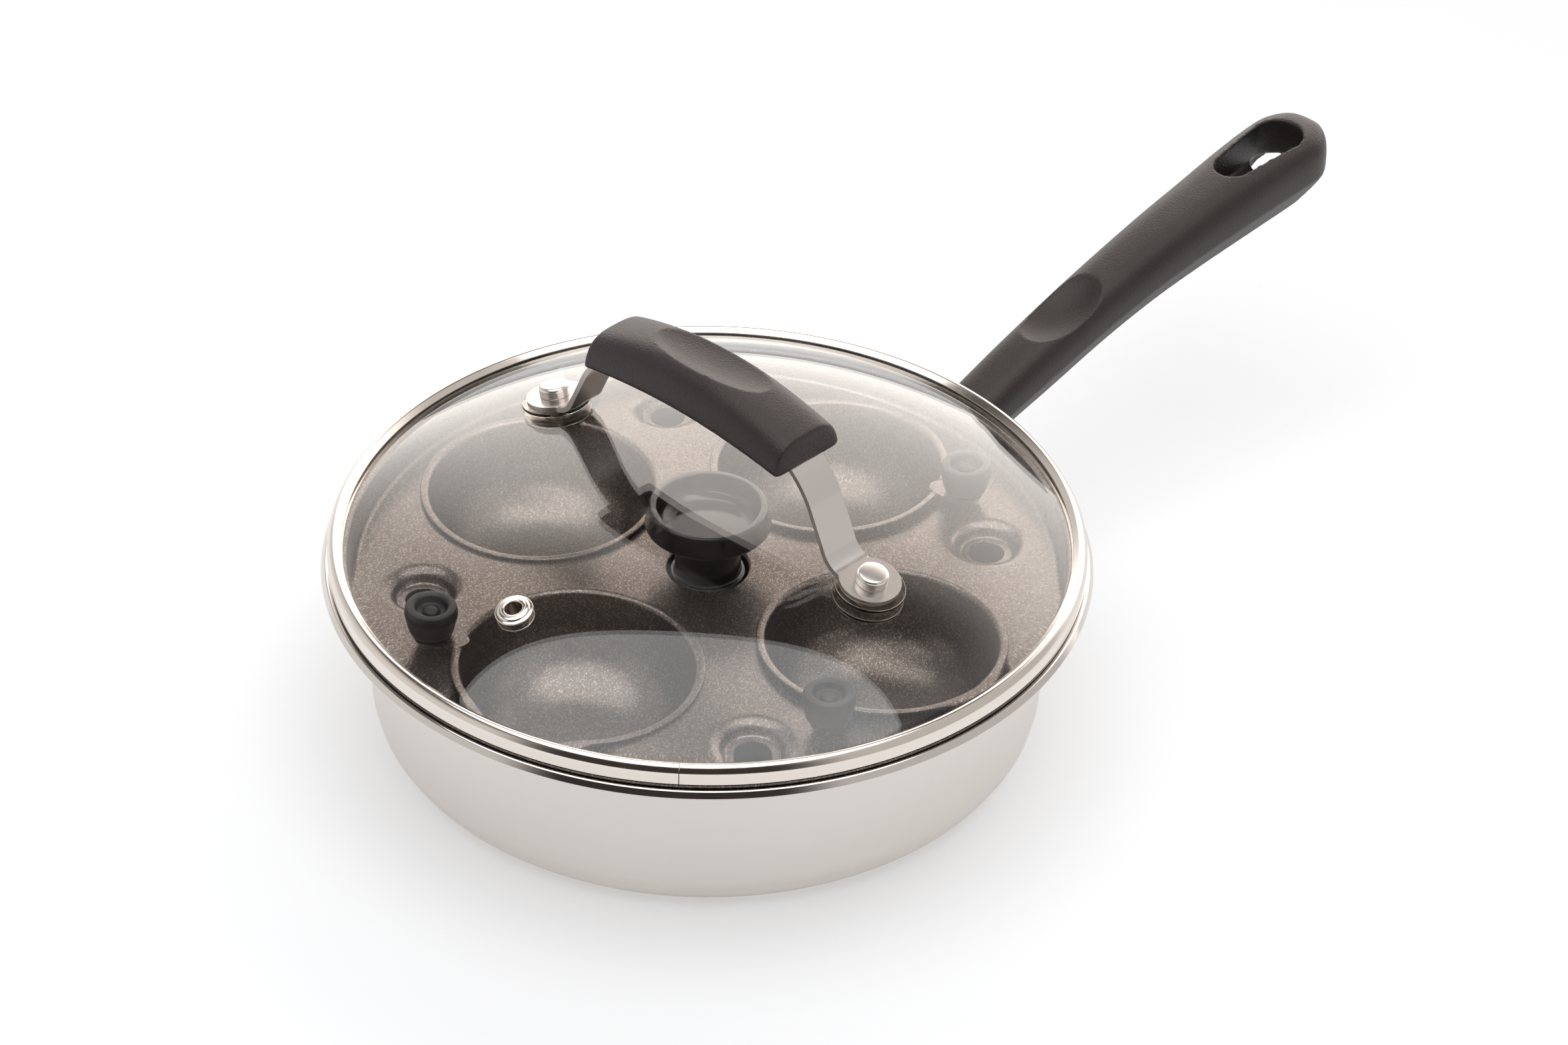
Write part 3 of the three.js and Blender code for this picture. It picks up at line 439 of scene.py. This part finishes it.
# The shoulders grow squarer towards the end.
for vertex in handle.data.vertices:
    x, y, z = vertex.co / mm
    _, low, high, half_wide = min(stations, key=lambda station: abs(station[0] - x))
    side_z = low + facet_share * (high - low)
    if x > squared_from and z > side_z:
        power = 1 - squaring * min((x - squared_from) / squared_over, 1)
        vertex.co.y = math.copysign((abs(y) / half_wide) ** power * half_wide, y) * mm
        vertex.co.z = (side_z + ((z - side_z) / (high - side_z)) ** power * (high - side_z)) * mm
apply_modifier(handle, "SUBSURF", levels=2, render_levels=2)

slot_inner_x, slot_inner_r, slot_outer_x, slot_outer_r = 229, 5.3, 250.5, 7.4
slot_floor_z, slot_height, slot_draught = 76, 16, 1.0
bpy.ops.mesh.primitive_cylinder_add(vertices=96, radius=mm, depth=slot_height * mm)
slot = bpy.context.object
for vertex in slot.data.vertices:
    end_x, radius = (slot_inner_x, slot_inner_r) if vertex.co.x < 0 else (slot_outer_x, slot_outer_r)
    if vertex.co.z > 0:
        radius += slot_draught
    vertex.co.x = end_x * mm + vertex.co.x * radius
    vertex.co.y *= radius
    vertex.co.z += (slot_floor_z + slot_height / 2) * mm
combine(handle, slot)
hole_x = 253
for radius, top in ((9, slot_floor_z + 0.5), (10.4, slot_floor_z - 1.5)):
    place = (hole_x * mm, 0, (top - 20) * mm)
    bpy.ops.mesh.primitive_cylinder_add(vertices=96, radius=radius * mm, depth=40 * mm, location=place)
    combine(handle, bpy.context.object)
cut_x, cut_z, cut_slope = 248.7, 67.7, 31
bpy.ops.mesh.primitive_cube_add(size=40 * mm, location=(20 * mm, 0, -20 * mm))
slope_cutter = bpy.context.object
apply_place(slope_cutter)
slope_cutter.rotation_euler = (0, math.radians(-cut_slope), 0)
slope_cutter.location = (cut_x * mm, 0, cut_z * mm)
apply_place(slope_cutter)
combine(handle, slope_cutter)
place = (147.6 * mm, 0, 76 * mm)
bpy.ops.mesh.primitive_uv_sphere_add(segments=96, ring_count=48, radius=mm, location=place)
thumb_hollow = bpy.context.object
thumb_hollow.scale = (20.9, 15.7, 12.2)
thumb_hollow.rotation_euler = (0, math.radians(-16.4), 0)
apply_place(thumb_hollow)
combine(handle, thumb_hollow)
apply_modifier(handle, "REMESH", mode="VOXEL", voxel_size=0.5 * mm, use_smooth_shade=True)
apply_modifier(handle, "SMOOTH", factor=0.5, iterations=4)


def block(low, high):
    """A box between two corners, as a tool that cuts."""
    middle = [(a + b) / 2 * mm for a, b in zip(low, high)]
    bpy.ops.mesh.primitive_cube_add(size=1, location=middle)
    made = bpy.context.object
    made.scale = [(b - a) * mm for a, b in zip(low, high)]
    apply_place(made)
    return made


notch_z = rim_z - 2.4
combine(handle, block((80, -20, notch_z), (rim_r + 2, 20, climb_high)))
for node in ("handle_bracket", "handle_screw"):
    pocket = eased_copy(node, node + "_pocket", 0.05, 1)
    apply_modifier(pocket, "DISPLACE", strength=0.3 * mm, mid_level=0)
    combine(handle, pocket)
select_only(handle)
bpy.ops.object.shade_smooth_by_angle(angle=math.radians(45))
dress(handle, moulded_phenolic, "pan", "moulded_phenolic", "long_handle")


# Poaching tray: a pressed aluminium plate with a non-stick coat. A riser and a flange hang it in the collar,
# four round holes take the cups, and four pressed dimples are pierced for the steam.
nonstick, tree, coat = new_finish("speckled non-stick coating")
coat.inputs["Metallic"].default_value = 0.93
place = add_node(tree, "TexCoord")
# Metal flakes of about a quarter of a millimetre in a dark coat.
flakes = add_node(tree, "TexVoronoi", {"Vector": place.outputs["Object"], "Scale": 3600.0}, feature="F1")
flake_shade = add_node(tree, "SeparateColor", {0: flakes.outputs["Color"]})
shades = [(0.0, "#645D59"), (0.75, "#726A65"), (0.95, "#A69C94")]
speckle = add_node(tree, "ValToRGB", {"Fac": flake_shade.outputs[0]}, shades)
cloud = add_node(tree, "TexNoise", {"Vector": place.outputs["Object"], "Scale": 45.0, "Detail": 3.0})
worn = add_node(tree, "MapRange", {"Value": cloud.outputs["Fac"], "To Min": 0.29, "To Max": 0.34})
tree.links.new(speckle.outputs["Color"], coat.inputs["Base Color"])
tree.links.new(worn.outputs[0], coat.inputs["Roughness"])
peel = add_node(tree, "TexNoise", {"Vector": place.outputs["Object"], "Scale": 900.0, "Detail": 3.0})
relief = add_node(tree, "Bump", {"Height": peel.outputs["Fac"], "Strength": 0.15, "Distance": 0.06 * mm})
tree.links.new(relief.outputs[0], coat.inputs["Normal"])

tray_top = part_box("poacher_tray")[1].z / mm
tray_sheet, plate_r, plate_drop, well_drop = 0.7, 99.3, 7.65, 3.75
plate_z = tray_top - plate_drop
well_z = plate_z - well_drop
tray_line = [(2.3, well_z), (11.2, well_z, 0.9), (11.7, plate_z, 0.9), (plate_r, plate_z, 1.2),
             (100.6, tray_top, 1.1), (107.2, tray_top)]
under_line = [(107.2, tray_top - tray_sheet), (101.2, tray_top - tray_sheet, 0.6),
              (99.95, plate_z - tray_sheet, 1.6), (12.3, plate_z - tray_sheet, 0.5),
              (11.8, well_z - tray_sheet, 1.4), (2.3, well_z - tray_sheet)]
tray = turned("tray", tray_line + under_line, closed=True, steps=192)

cup_pitch, cup_bearing, cup_hole_r = 59.9, 8.9, 33.5
dimple_pitch, dimple_r, dimple_shoulder, dimple_drop, steam_hole_r = 80.7, 12.3, 4.1, 2.72, 5.15
bearings = [cup_bearing + 90 * i for i in range(4)]


def around(radius, degrees, z=0.0):
    angle = math.radians(degrees)
    return Vector((radius * math.cos(angle), radius * math.sin(angle), z)) * mm


def upright_cutter(radius, place, vertices=128):
    bpy.ops.mesh.primitive_cylinder_add(vertices=vertices, radius=radius * mm, depth=12 * mm, location=place)
    made = bpy.context.object
    apply_place(made)
    return made


hollow = [(dimple_r - dimple_shoulder * math.cos(math.radians(a)),
           plate_z - dimple_drop + dimple_drop * math.sin(math.radians(a)))
          for a in (12, 26, 40, 54, 68, 80, 90)]
dimple_line = [(steam_hole_r, well_z), (7.4, well_z, 0.4),
               (dimple_r - dimple_shoulder, plate_z - dimple_drop)]
dimple_line += hollow + [(dimple_r + 0.5, plate_z)]
under_dimple = [(dimple_r + 0.5, plate_z - tray_sheet)]
under_dimple += [(r, z - tray_sheet) for r, z in reversed(hollow)]
under_dimple += [(dimple_r - dimple_shoulder + 0.1, well_z - tray_sheet, 0.6),
                 (steam_hole_r, well_z - tray_sheet)]
dimple = turned("dimple", dimple_line + under_dimple, closed=True, steps=96)
for bearing in bearings:
    combine(tray, upright_cutter(cup_hole_r, around(cup_pitch, bearing, plate_z)))
    combine(tray, upright_cutter(dimple_r + 0.45, around(dimple_pitch, bearing + 45, plate_z), 96))


def stand(piece, matrix):
    piece.matrix_world = matrix
    apply_place(piece)
    return piece


def placed_copy(model, name, matrix):
    select_only(model)
    bpy.ops.object.duplicate()
    copy = bpy.context.object
    copy.name = copy.data.name = name
    return stand(copy, matrix)


dimples = [placed_copy(dimple, f"dimple_{number}", Matrix.Translation(around(dimple_pitch, bearing + 45)))
           for number, bearing in enumerate(bearings, 1)]
bpy.data.objects.remove(dimple)
select_only(tray, *dimples)
bpy.ops.object.join()
settle(tray, 40)
dress(tray, nonstick, "tray", "nonstick_coated", "poacher_tray")


# Centre knob: glossy phenolic with a dished cap, for lifting the hot tray. A screw holds it from below, with a
# polished stainless washer under its head.
gloss_phenolic, tree, resin = new_finish("polished black phenolic")
resin.inputs["IOR"].default_value = 1.6
resin.inputs["Base Color"].default_value = linear("#1B1919")
place = add_node(tree, "TexCoord")
cloud = add_node(tree, "TexNoise", {"Vector": place.outputs["Object"], "Scale": 300.0, "Detail": 2.0})
worn = add_node(tree, "MapRange", {"Value": cloud.outputs["Fac"], "To Min": 0.1, "To Max": 0.16})
tree.links.new(worn.outputs[0], resin.inputs["Roughness"])

foot_z = well_z + 0.3
cap_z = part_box("centre_knob")[1].z / mm
knob_line = [
    (0, foot_z), (10.8, foot_z, 0.3), (10.8, foot_z + 2.5, 0.7), (9.35, foot_z + 2.5, 0.7),
    (9.35, cap_z - 7.4, 0.8), (16.6, cap_z - 7.2, 0.6), (18, cap_z - 6.2, 0.6), (16.75, cap_z, 0.6),
    (14.7, cap_z, 0.5), (13.6, cap_z - 5, 1.0), (10.8, cap_z - 6.4, 1.0), (0, cap_z - 6.4),
]
dress(turned("knob", knob_line, steps=128), gloss_phenolic, "tray", "gloss_phenolic", "centre_knob")
under_washer = eased_copy("tray_washer", "knob_washer", 0.15)
dress(under_washer, polished_steel, "tray", "polished_stainless", "tray_washer")
under_screw = eased_copy("tray_screw", "knob_screw", 0.3)
dress(under_screw, polished_steel, "tray", "polished_stainless", "tray_screw")


# Egg cups: four spun bowls with the tray's non-stick coat, each with a flat lip that rests on the tray, a tab, a
# small satin knob on the tab and a steel rivet through both.
cup_lip_r, cup_sheet, cup_depth, knob_out, tab_r, cup_lean = 34.9, 0.7, 26.5, 42, 4.9, 1.6
cup_turns = (-75.7, -67.5, -68.9, -75.9)
cup_z = plate_z + 0.3 + cup_sheet + cup_lip_r * math.sin(math.radians(cup_lean))
wall_r, wall_top, bottom_r = 32.3, -9.0, 12.0
bowl = [(bottom_r + (wall_r - 0.9 - bottom_r) * math.sin(math.radians(a)),
         wall_top - (cup_depth + wall_top) * math.cos(math.radians(a))) for a in range(0, 91, 6)]
outside = [(r + cup_sheet * math.sin(math.radians(a)), z - cup_sheet * math.cos(math.radians(a)))
           for (r, z), a in zip(bowl, range(0, 91, 6))]
cup_line = [(0, -cup_depth)] + bowl + [(wall_r, 0, 1.4), (cup_lip_r, 0, 0.3), (cup_lip_r, -cup_sheet, 0.25),
            (wall_r + cup_sheet, -cup_sheet, 1.3)] + outside[::-1] + [(0, -cup_depth - cup_sheet)]
cup = turned("cup", cup_line, steps=160)
place = (knob_out * mm, 0, -cup_sheet / 2 * mm)
bpy.ops.mesh.primitive_cylinder_add(vertices=64, radius=tab_r * mm, depth=cup_sheet * mm, location=place)
tab = bpy.context.object
# The inner half of the disc is drawn in under the lip, which makes it a tongue.
for vertex in tab.data.vertices:
    if vertex.co.x < -0.01 * mm:
        vertex.co.x -= (knob_out - cup_lip_r - 1.2) * mm - 0.9 * (vertex.co.x + tab_r * mm)
apply_place(tab)
combine(cup, tab, "UNION")
settle(cup)

satin_phenolic, tree, resin = new_finish("satin black phenolic")
resin.inputs["IOR"].default_value = 1.45
resin.inputs["Base Color"].default_value = linear("#151313")
place = add_node(tree, "TexCoord")
cloud = add_node(tree, "TexNoise", {"Vector": place.outputs["Object"], "Scale": 900.0, "Detail": 2.0})
worn = add_node(tree, "MapRange", {"Value": cloud.outputs["Fac"], "To Min": 0.3, "To Max": 0.4})
tree.links.new(worn.outputs[0], resin.inputs["Roughness"])

knob_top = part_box("cup_knob_1")[1].z / mm - cup_z - 1.4
cup_knob_line = [
    (0, 0), (4.75, 0, 0.35), (6.1, 1.3, 1.1), (7.62, knob_top - 1.4, 1.5), (6.7, knob_top, 1.0),
    (4.65, knob_top, 0.5), (3.95, knob_top - 2.2, 0.5), (2.4, knob_top - 2.3, 0.3), (2.15, knob_top - 1.3, 0.7),
    (0, knob_top - 0.75),
]
cup_knob = turned("cup_knob", cup_knob_line, steps=96)
rivet_line = [(0, -cup_sheet - 1.1), (2.2, -cup_sheet - 1.1, 0.5), (3.1, -cup_sheet - 0.35, 0.3),
              (3.1, -cup_sheet, 0.1), (0, -cup_sheet)]
cup_rivet = turned("cup_rivet", rivet_line, steps=64)
for number, (bearing, turn) in enumerate(zip(bearings, cup_turns), 1):
    seat = (
        Matrix.Translation(around(cup_pitch, bearing, cup_z))
        @ Matrix.Rotation(math.radians(bearing + turn), 4, "Z")
        @ Matrix.Rotation(math.radians(-cup_lean), 4, "Y")
    )
    onto_tab = seat @ Matrix.Translation((knob_out * mm, 0, 0.15 * mm))
    for model, matrix, finish, slot_name, node in (
        (cup, seat, nonstick, "nonstick_coated", "egg_cup_"),
        (cup_knob, onto_tab, satin_phenolic, "satin_phenolic", "cup_knob_"),
        (cup_rivet, onto_tab, polished_steel, "polished_stainless", "cup_rivet_"),
    ):
        piece = placed_copy(model, f"{model.name}_number_{number}", matrix)
        dress(piece, finish, f"cup_{number}", slot_name, f"{node}{number}")
for model in (cup, cup_knob, cup_rivet):
    bpy.data.objects.remove(model)


# Lid glass: a pressed dome of toughened soda-lime glass, 3 mm thick, ground round its edge and drilled for vent
# and rivets. Light on its way to a surface below isn't bent, which keeps the shadows under it clear.
glass_finish, tree, pane = new_finish("toughened clear glass")
pane.inputs["Base Color"].default_value = linear("#FCFBFA")
pane.inputs["Roughness"].default_value = 0.0
pane.inputs["IOR"].default_value = 1.5
pane.inputs["Transmission Weight"].default_value = 1
path = add_node(tree, "LightPath")
clear = add_node(tree, "BsdfTransparent", {"Color": linear("#F6F5F4")})
mixed = add_node(tree, "MixShader", {0: path.outputs["Is Shadow Ray"], 1: pane.outputs[0], 2: clear.outputs[0]})
tree.links.new(mixed.outputs[0], tree.nodes["Material Output"].inputs["Surface"])

glass_thick, dome_r, dome_rise, dome_power, glass_r = 3.1, 104.1, 19.2, 2.8, 105.0
glass_low, dome_top = (corner.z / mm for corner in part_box("lid_glass"))


def dome_z(r):
    return dome_top - dome_rise * (r / dome_r) ** dome_power


def dome_slope(r):
    return math.atan(dome_rise * dome_power * (r / dome_r) ** (dome_power - 1) / dome_r)


rings = [dome_r * i / 40 for i in range(41)]
over = [(r, dome_z(r)) for r in rings]
under = [(r, max(dome_z(r) - glass_thick / math.cos(dome_slope(r)), glass_low)) for r in rings]
ground_edge = [(glass_r - 0.8, glass_low, 0.2), (glass_r, glass_low + 0.8, 0.2),
               (glass_r, dome_z(dome_r) - 0.9, 0.3)]
glass_line = under[:-1] + ground_edge + over[::-1]
glass = turned("glass", glass_line, steps=192)
foot_r, rivet_r, vent_r, vent_bearing = 62.4, 2.6, 74.1, 180.0


def drill(radius, place, slope, bearing):
    bpy.ops.mesh.primitive_cylinder_add(vertices=48, radius=radius * mm, depth=14 * mm)
    return stand(bpy.context.object, on_dome(place, slope, bearing))


def on_dome(radius, slope, bearing):
    """The frame of a fitting that stands square on the glass."""
    return (
        Matrix.Rotation(math.radians(bearing), 4, "Z")
        @ Matrix.Translation((radius * mm, 0, dome_z(radius) * mm))
        @ Matrix.Rotation(slope, 4, "Y")
    )


for bearing in (90, -90):
    combine(glass, drill(rivet_r + 0.3, foot_r, dome_slope(foot_r), bearing))
combine(glass, drill(3.6, vent_r, dome_slope(vent_r), vent_bearing))
settle(glass, 30)
dress(glass, glass_finish, "lid", "toughened_glass", "lid_glass")


# Lid band: stainless strip rolled round the edge of the glass into an upright face and a sloped crown, with a
# butt seam at the front, and polished.
band_low, band_high = (corner.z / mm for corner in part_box("lid_band"))
band_r, band_sheet, lip_r = 107.5, 0.45, 103.3
band_line = [
    (glass_r - 2.9, band_low), (band_r, band_low, 0.5), (band_r, band_high - 2.35, 0.5),
    (band_r - 0.95, band_high - 0.8, 0.5), (band_r - 2.2, band_high, 0.8),
    (lip_r, dome_z(lip_r) + 0.55, 0.12), (lip_r, dome_z(lip_r) + 0.25), (dome_r, dome_z(dome_r) + 0.3),
    (glass_r + 0.2, dome_z(dome_r) - 0.7), (glass_r + 0.2, band_low + band_sheet),
    (glass_r - 2.9, band_low + band_sheet),
]
band = turned("band", band_line, closed=True, steps=360)
seam_bearing, seam_half = 221.2, 0.12
seam = block((band_r - 2.7, -seam_half, band_low - 1), (band_r + 2, seam_half, band_low + 12))
seam.rotation_euler = (0, 0, math.radians(seam_bearing))
apply_place(seam)
combine(band, seam)
settle(band)
dress(band, polished_steel, "lid", "polished_stainless", "lid_band")


# Vent, straps, washers and rivets: stainless steel and clear silicone. The eyelet is crimped through the glass.
# Each strap is bent from flat bar with a round foot. A rivet clamps it to the glass between two soft washers.
vent_line = [
    (2.4, -glass_thick - 0.9, 0.2), (5.2, -glass_thick - 0.9, 0.2), (5.2, -glass_thick - 0.3, 0.2),
    (3.3, -glass_thick - 0.3), (3.3, 0.05), (5.4, 0.05, 0.2), (5.4, 0.75, 0.3), (4.5, 0.85, 0.25),
    (4.2, 1.35, 0.3), (3.5, 1.45, 0.25), (3.2, 1.75, 0.25), (2.4, 1.6, 0.35),
]
vent = turned("vent", vent_line, closed=True, steps=72)
stand(vent, on_dome(vent_r, dome_slope(vent_r), vent_bearing))
dress(vent, polished_steel, "lid", "polished_stainless", "vent_eyelet")

satin_steel, tree, steel = new_finish("tumbled stainless steel")
steel.inputs["Base Color"].default_value = linear("#DCD6D1")
steel.inputs["Metallic"].default_value = 1
place = add_node(tree, "TexCoord")
cloud = add_node(tree, "TexNoise", {"Vector": place.outputs["Object"], "Scale": 300.0, "Detail": 2.0})
worn = add_node(tree, "MapRange", {"Value": cloud.outputs["Fac"], "To Min": 0.23, "To Max": 0.27})
tree.links.new(worn.outputs[0], steel.inputs["Roughness"])

soft_finish, tree, rubber = new_finish("amber-tinted clear silicone")
rubber.inputs["Base Color"].default_value = linear("#FCF8F0")
rubber.inputs["Roughness"].default_value = 0.05
rubber.inputs["IOR"].default_value = 1.41
rubber.inputs["Transmission Weight"].default_value = 1

strap_thick, strap_wide, strap_low, foot_plate_r = 1.5, 12, 1.7, 8.75
tongue_in, tongue_out, grip_over_glass = 20, 31.6, 28.5
shin_out, shin_down, ankle_out = 0.354, 0.298, 0.6656
grip_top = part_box("lid_grip")[1].z / mm
grip_low = dome_top + grip_over_glass
tongue_z = grip_low + 1.2
slope = dome_slope(foot_r)
strap_foot_z = dome_z(foot_r) + (strap_low + strap_thick / 2) / math.cos(slope)
run, drop = foot_r - tongue_out, tongue_z - strap_foot_z
ankle_r = tongue_out + ankle_out * run
strap_line = [
    (tongue_in, tongue_z), (tongue_out, tongue_z, 2.0),
    (tongue_out + shin_out * run, tongue_z - shin_down * drop, 5.0),
    (ankle_r, strap_foot_z + (foot_r - ankle_r) * math.tan(slope), 3.6), (foot_r, strap_foot_z),
]
washer_r, washer_low, washer_high, washer_pitch = 10, 0.3, 1.4, 5.2
washer_line = [(2.9, washer_low), (washer_r, washer_low, 0.4), (washer_r, washer_high, 0.4), (2.9, washer_high)]
washer = turned("washer", washer_line, closed=True, steps=96)
head_low, head_r, head_thick = strap_low + strap_thick, 4.5, 3.5
head_line = [
    (0, head_low - 0.3), (3.0, head_low - 0.3), (3.0, head_low), (head_r, head_low, 0.25),
    (head_r, head_low + head_thick * 0.8, 0.5), (head_r * 0.86, head_low + head_thick * 0.93, 0.4),
    (head_r * 0.5, head_low + head_thick * 0.98, 0.8), (0, head_low + head_thick),
]
rivet = turned("rivet", head_line, steps=72)
tail_line = [(0, -6.3), (4.2, -6.3, 0.5), (4.2, -4.9, 0.2), (2.6, -4.9), (2.6, head_low), (0, head_low)]
tail = turned("rivet_tail", tail_line, steps=72)
select_only(rivet, tail)
bpy.ops.object.join()
for number, bearing in ((1, 90), (2, -90)):
    strap = draw_outline("strap_" + str(number), strap_line, False, 8)
    bpy.ops.mesh.extrude_region_move(TRANSFORM_OT_translate={"value": (0, strap_wide * mm, 0)})
    bpy.ops.mesh.select_all(action="SELECT")
    bpy.ops.transform.translate(value=(0, -strap_wide / 2 * mm, 0))
    bpy.ops.mesh.normals_make_consistent(inside=False)
    bpy.ops.object.mode_set(mode="OBJECT")
    apply_modifier(strap, "SOLIDIFY", thickness=strap_thick * mm, offset=0)
    bpy.ops.mesh.primitive_cylinder_add(vertices=96, radius=foot_plate_r * mm, depth=strap_thick * mm)
    foot_place = Matrix.Translation((foot_r * mm, 0, strap_foot_z * mm)) @ Matrix.Rotation(slope, 4, "Y")
    combine(strap, stand(bpy.context.object, foot_place), "UNION")
    edge = {"limit_method": "ANGLE", "angle_limit": math.radians(55)}
    apply_modifier(strap, "BEVEL", width=0.3 * mm, segments=2, **edge)
    stand(strap, Matrix.Rotation(math.radians(bearing), 4, "Z"))
    settle(strap)
    dress(strap, satin_steel, "lid", "polished_stainless", f"lid_strap_{number}")
    seat = on_dome(foot_r, slope, bearing)
    under_seat = seat @ Matrix.Translation((0, 0, -washer_pitch * mm))
    for model, matrix, finish, slot_name, node in (
        (washer, seat, soft_finish, "clear_silicone", "upper_washer_"),
        (washer, under_seat, soft_finish, "clear_silicone", "lower_washer_"),
        (rivet, seat, satin_steel, "polished_stainless", "lid_rivet_"),
    ):
        piece = placed_copy(model, f"{node}piece_{number}", matrix)
        dress(piece, finish, "lid", slot_name, f"{node}{number}")
    screw = eased_copy(f"grip_screw_{number}", f"strap_screw_{number}", 0.3)
    dress(screw, polished_steel, "lid", "polished_stainless", f"grip_screw_{number}")
bpy.data.objects.remove(washer)
bpy.data.objects.remove(rivet)


# Lid grip: the same grained phenolic as the handle, an arched bar with a long hollow for the fingertips on top
# and a pocket underneath each end for the strap.
grip_half, grip_half_wide, top_fall, under_fall = 38.3, 12.5, 6.6, 3.4
half_section = [(0.5, 0), (0.9, 0), (0.985, 0.05), (1, 0.13), (0.95, 0.37), (0.87, 0.61), (0.75, 0.8),
                (0.57, 0.93), (0.31, 1)]
grip_section = half_section + [(-y, z) for y, z in reversed(half_section)]
grip_stations = []
for share in (-1, -0.97, -0.9, -0.75, -0.5, -0.25, 0, 0.25, 0.5, 0.75, 0.9, 0.97, 1):
    low, high = grip_low - under_fall * share**2, grip_top - top_fall * share**2
    grip_stations.append((share * grip_half, low, high, grip_half_wide))
grip = stretched_bar("grip", grip_section, grip_stations)
grip.rotation_euler = (0, 0, math.radians(90))
apply_place(grip)
apply_modifier(grip, "SUBSURF", levels=2, render_levels=2)
place = (3.4 * mm, 2.2 * mm, grip_top * mm)
bpy.ops.mesh.primitive_uv_sphere_add(segments=96, ring_count=48, radius=mm, location=place)
finger_hollow = bpy.context.object
finger_hollow.scale = (10, 29, 3.4)
apply_place(finger_hollow)
combine(grip, finger_hollow)
apply_modifier(grip, "REMESH", mode="VOXEL", voxel_size=0.4 * mm, use_smooth_shade=True)
apply_modifier(grip, "SMOOTH", factor=0.5, iterations=6)
for side in (1, -1):
    low_y, high_y = sorted((side * (tongue_in - 0.3), side * 38))
    combine(grip, block((-6.3, low_y, grip_low - 20), (6.3, high_y, tongue_z + 1.05)))
select_only(grip)
bpy.ops.object.shade_smooth_by_angle(angle=math.radians(45))
dress(grip, moulded_phenolic, "lid", "moulded_phenolic", "lid_grip")
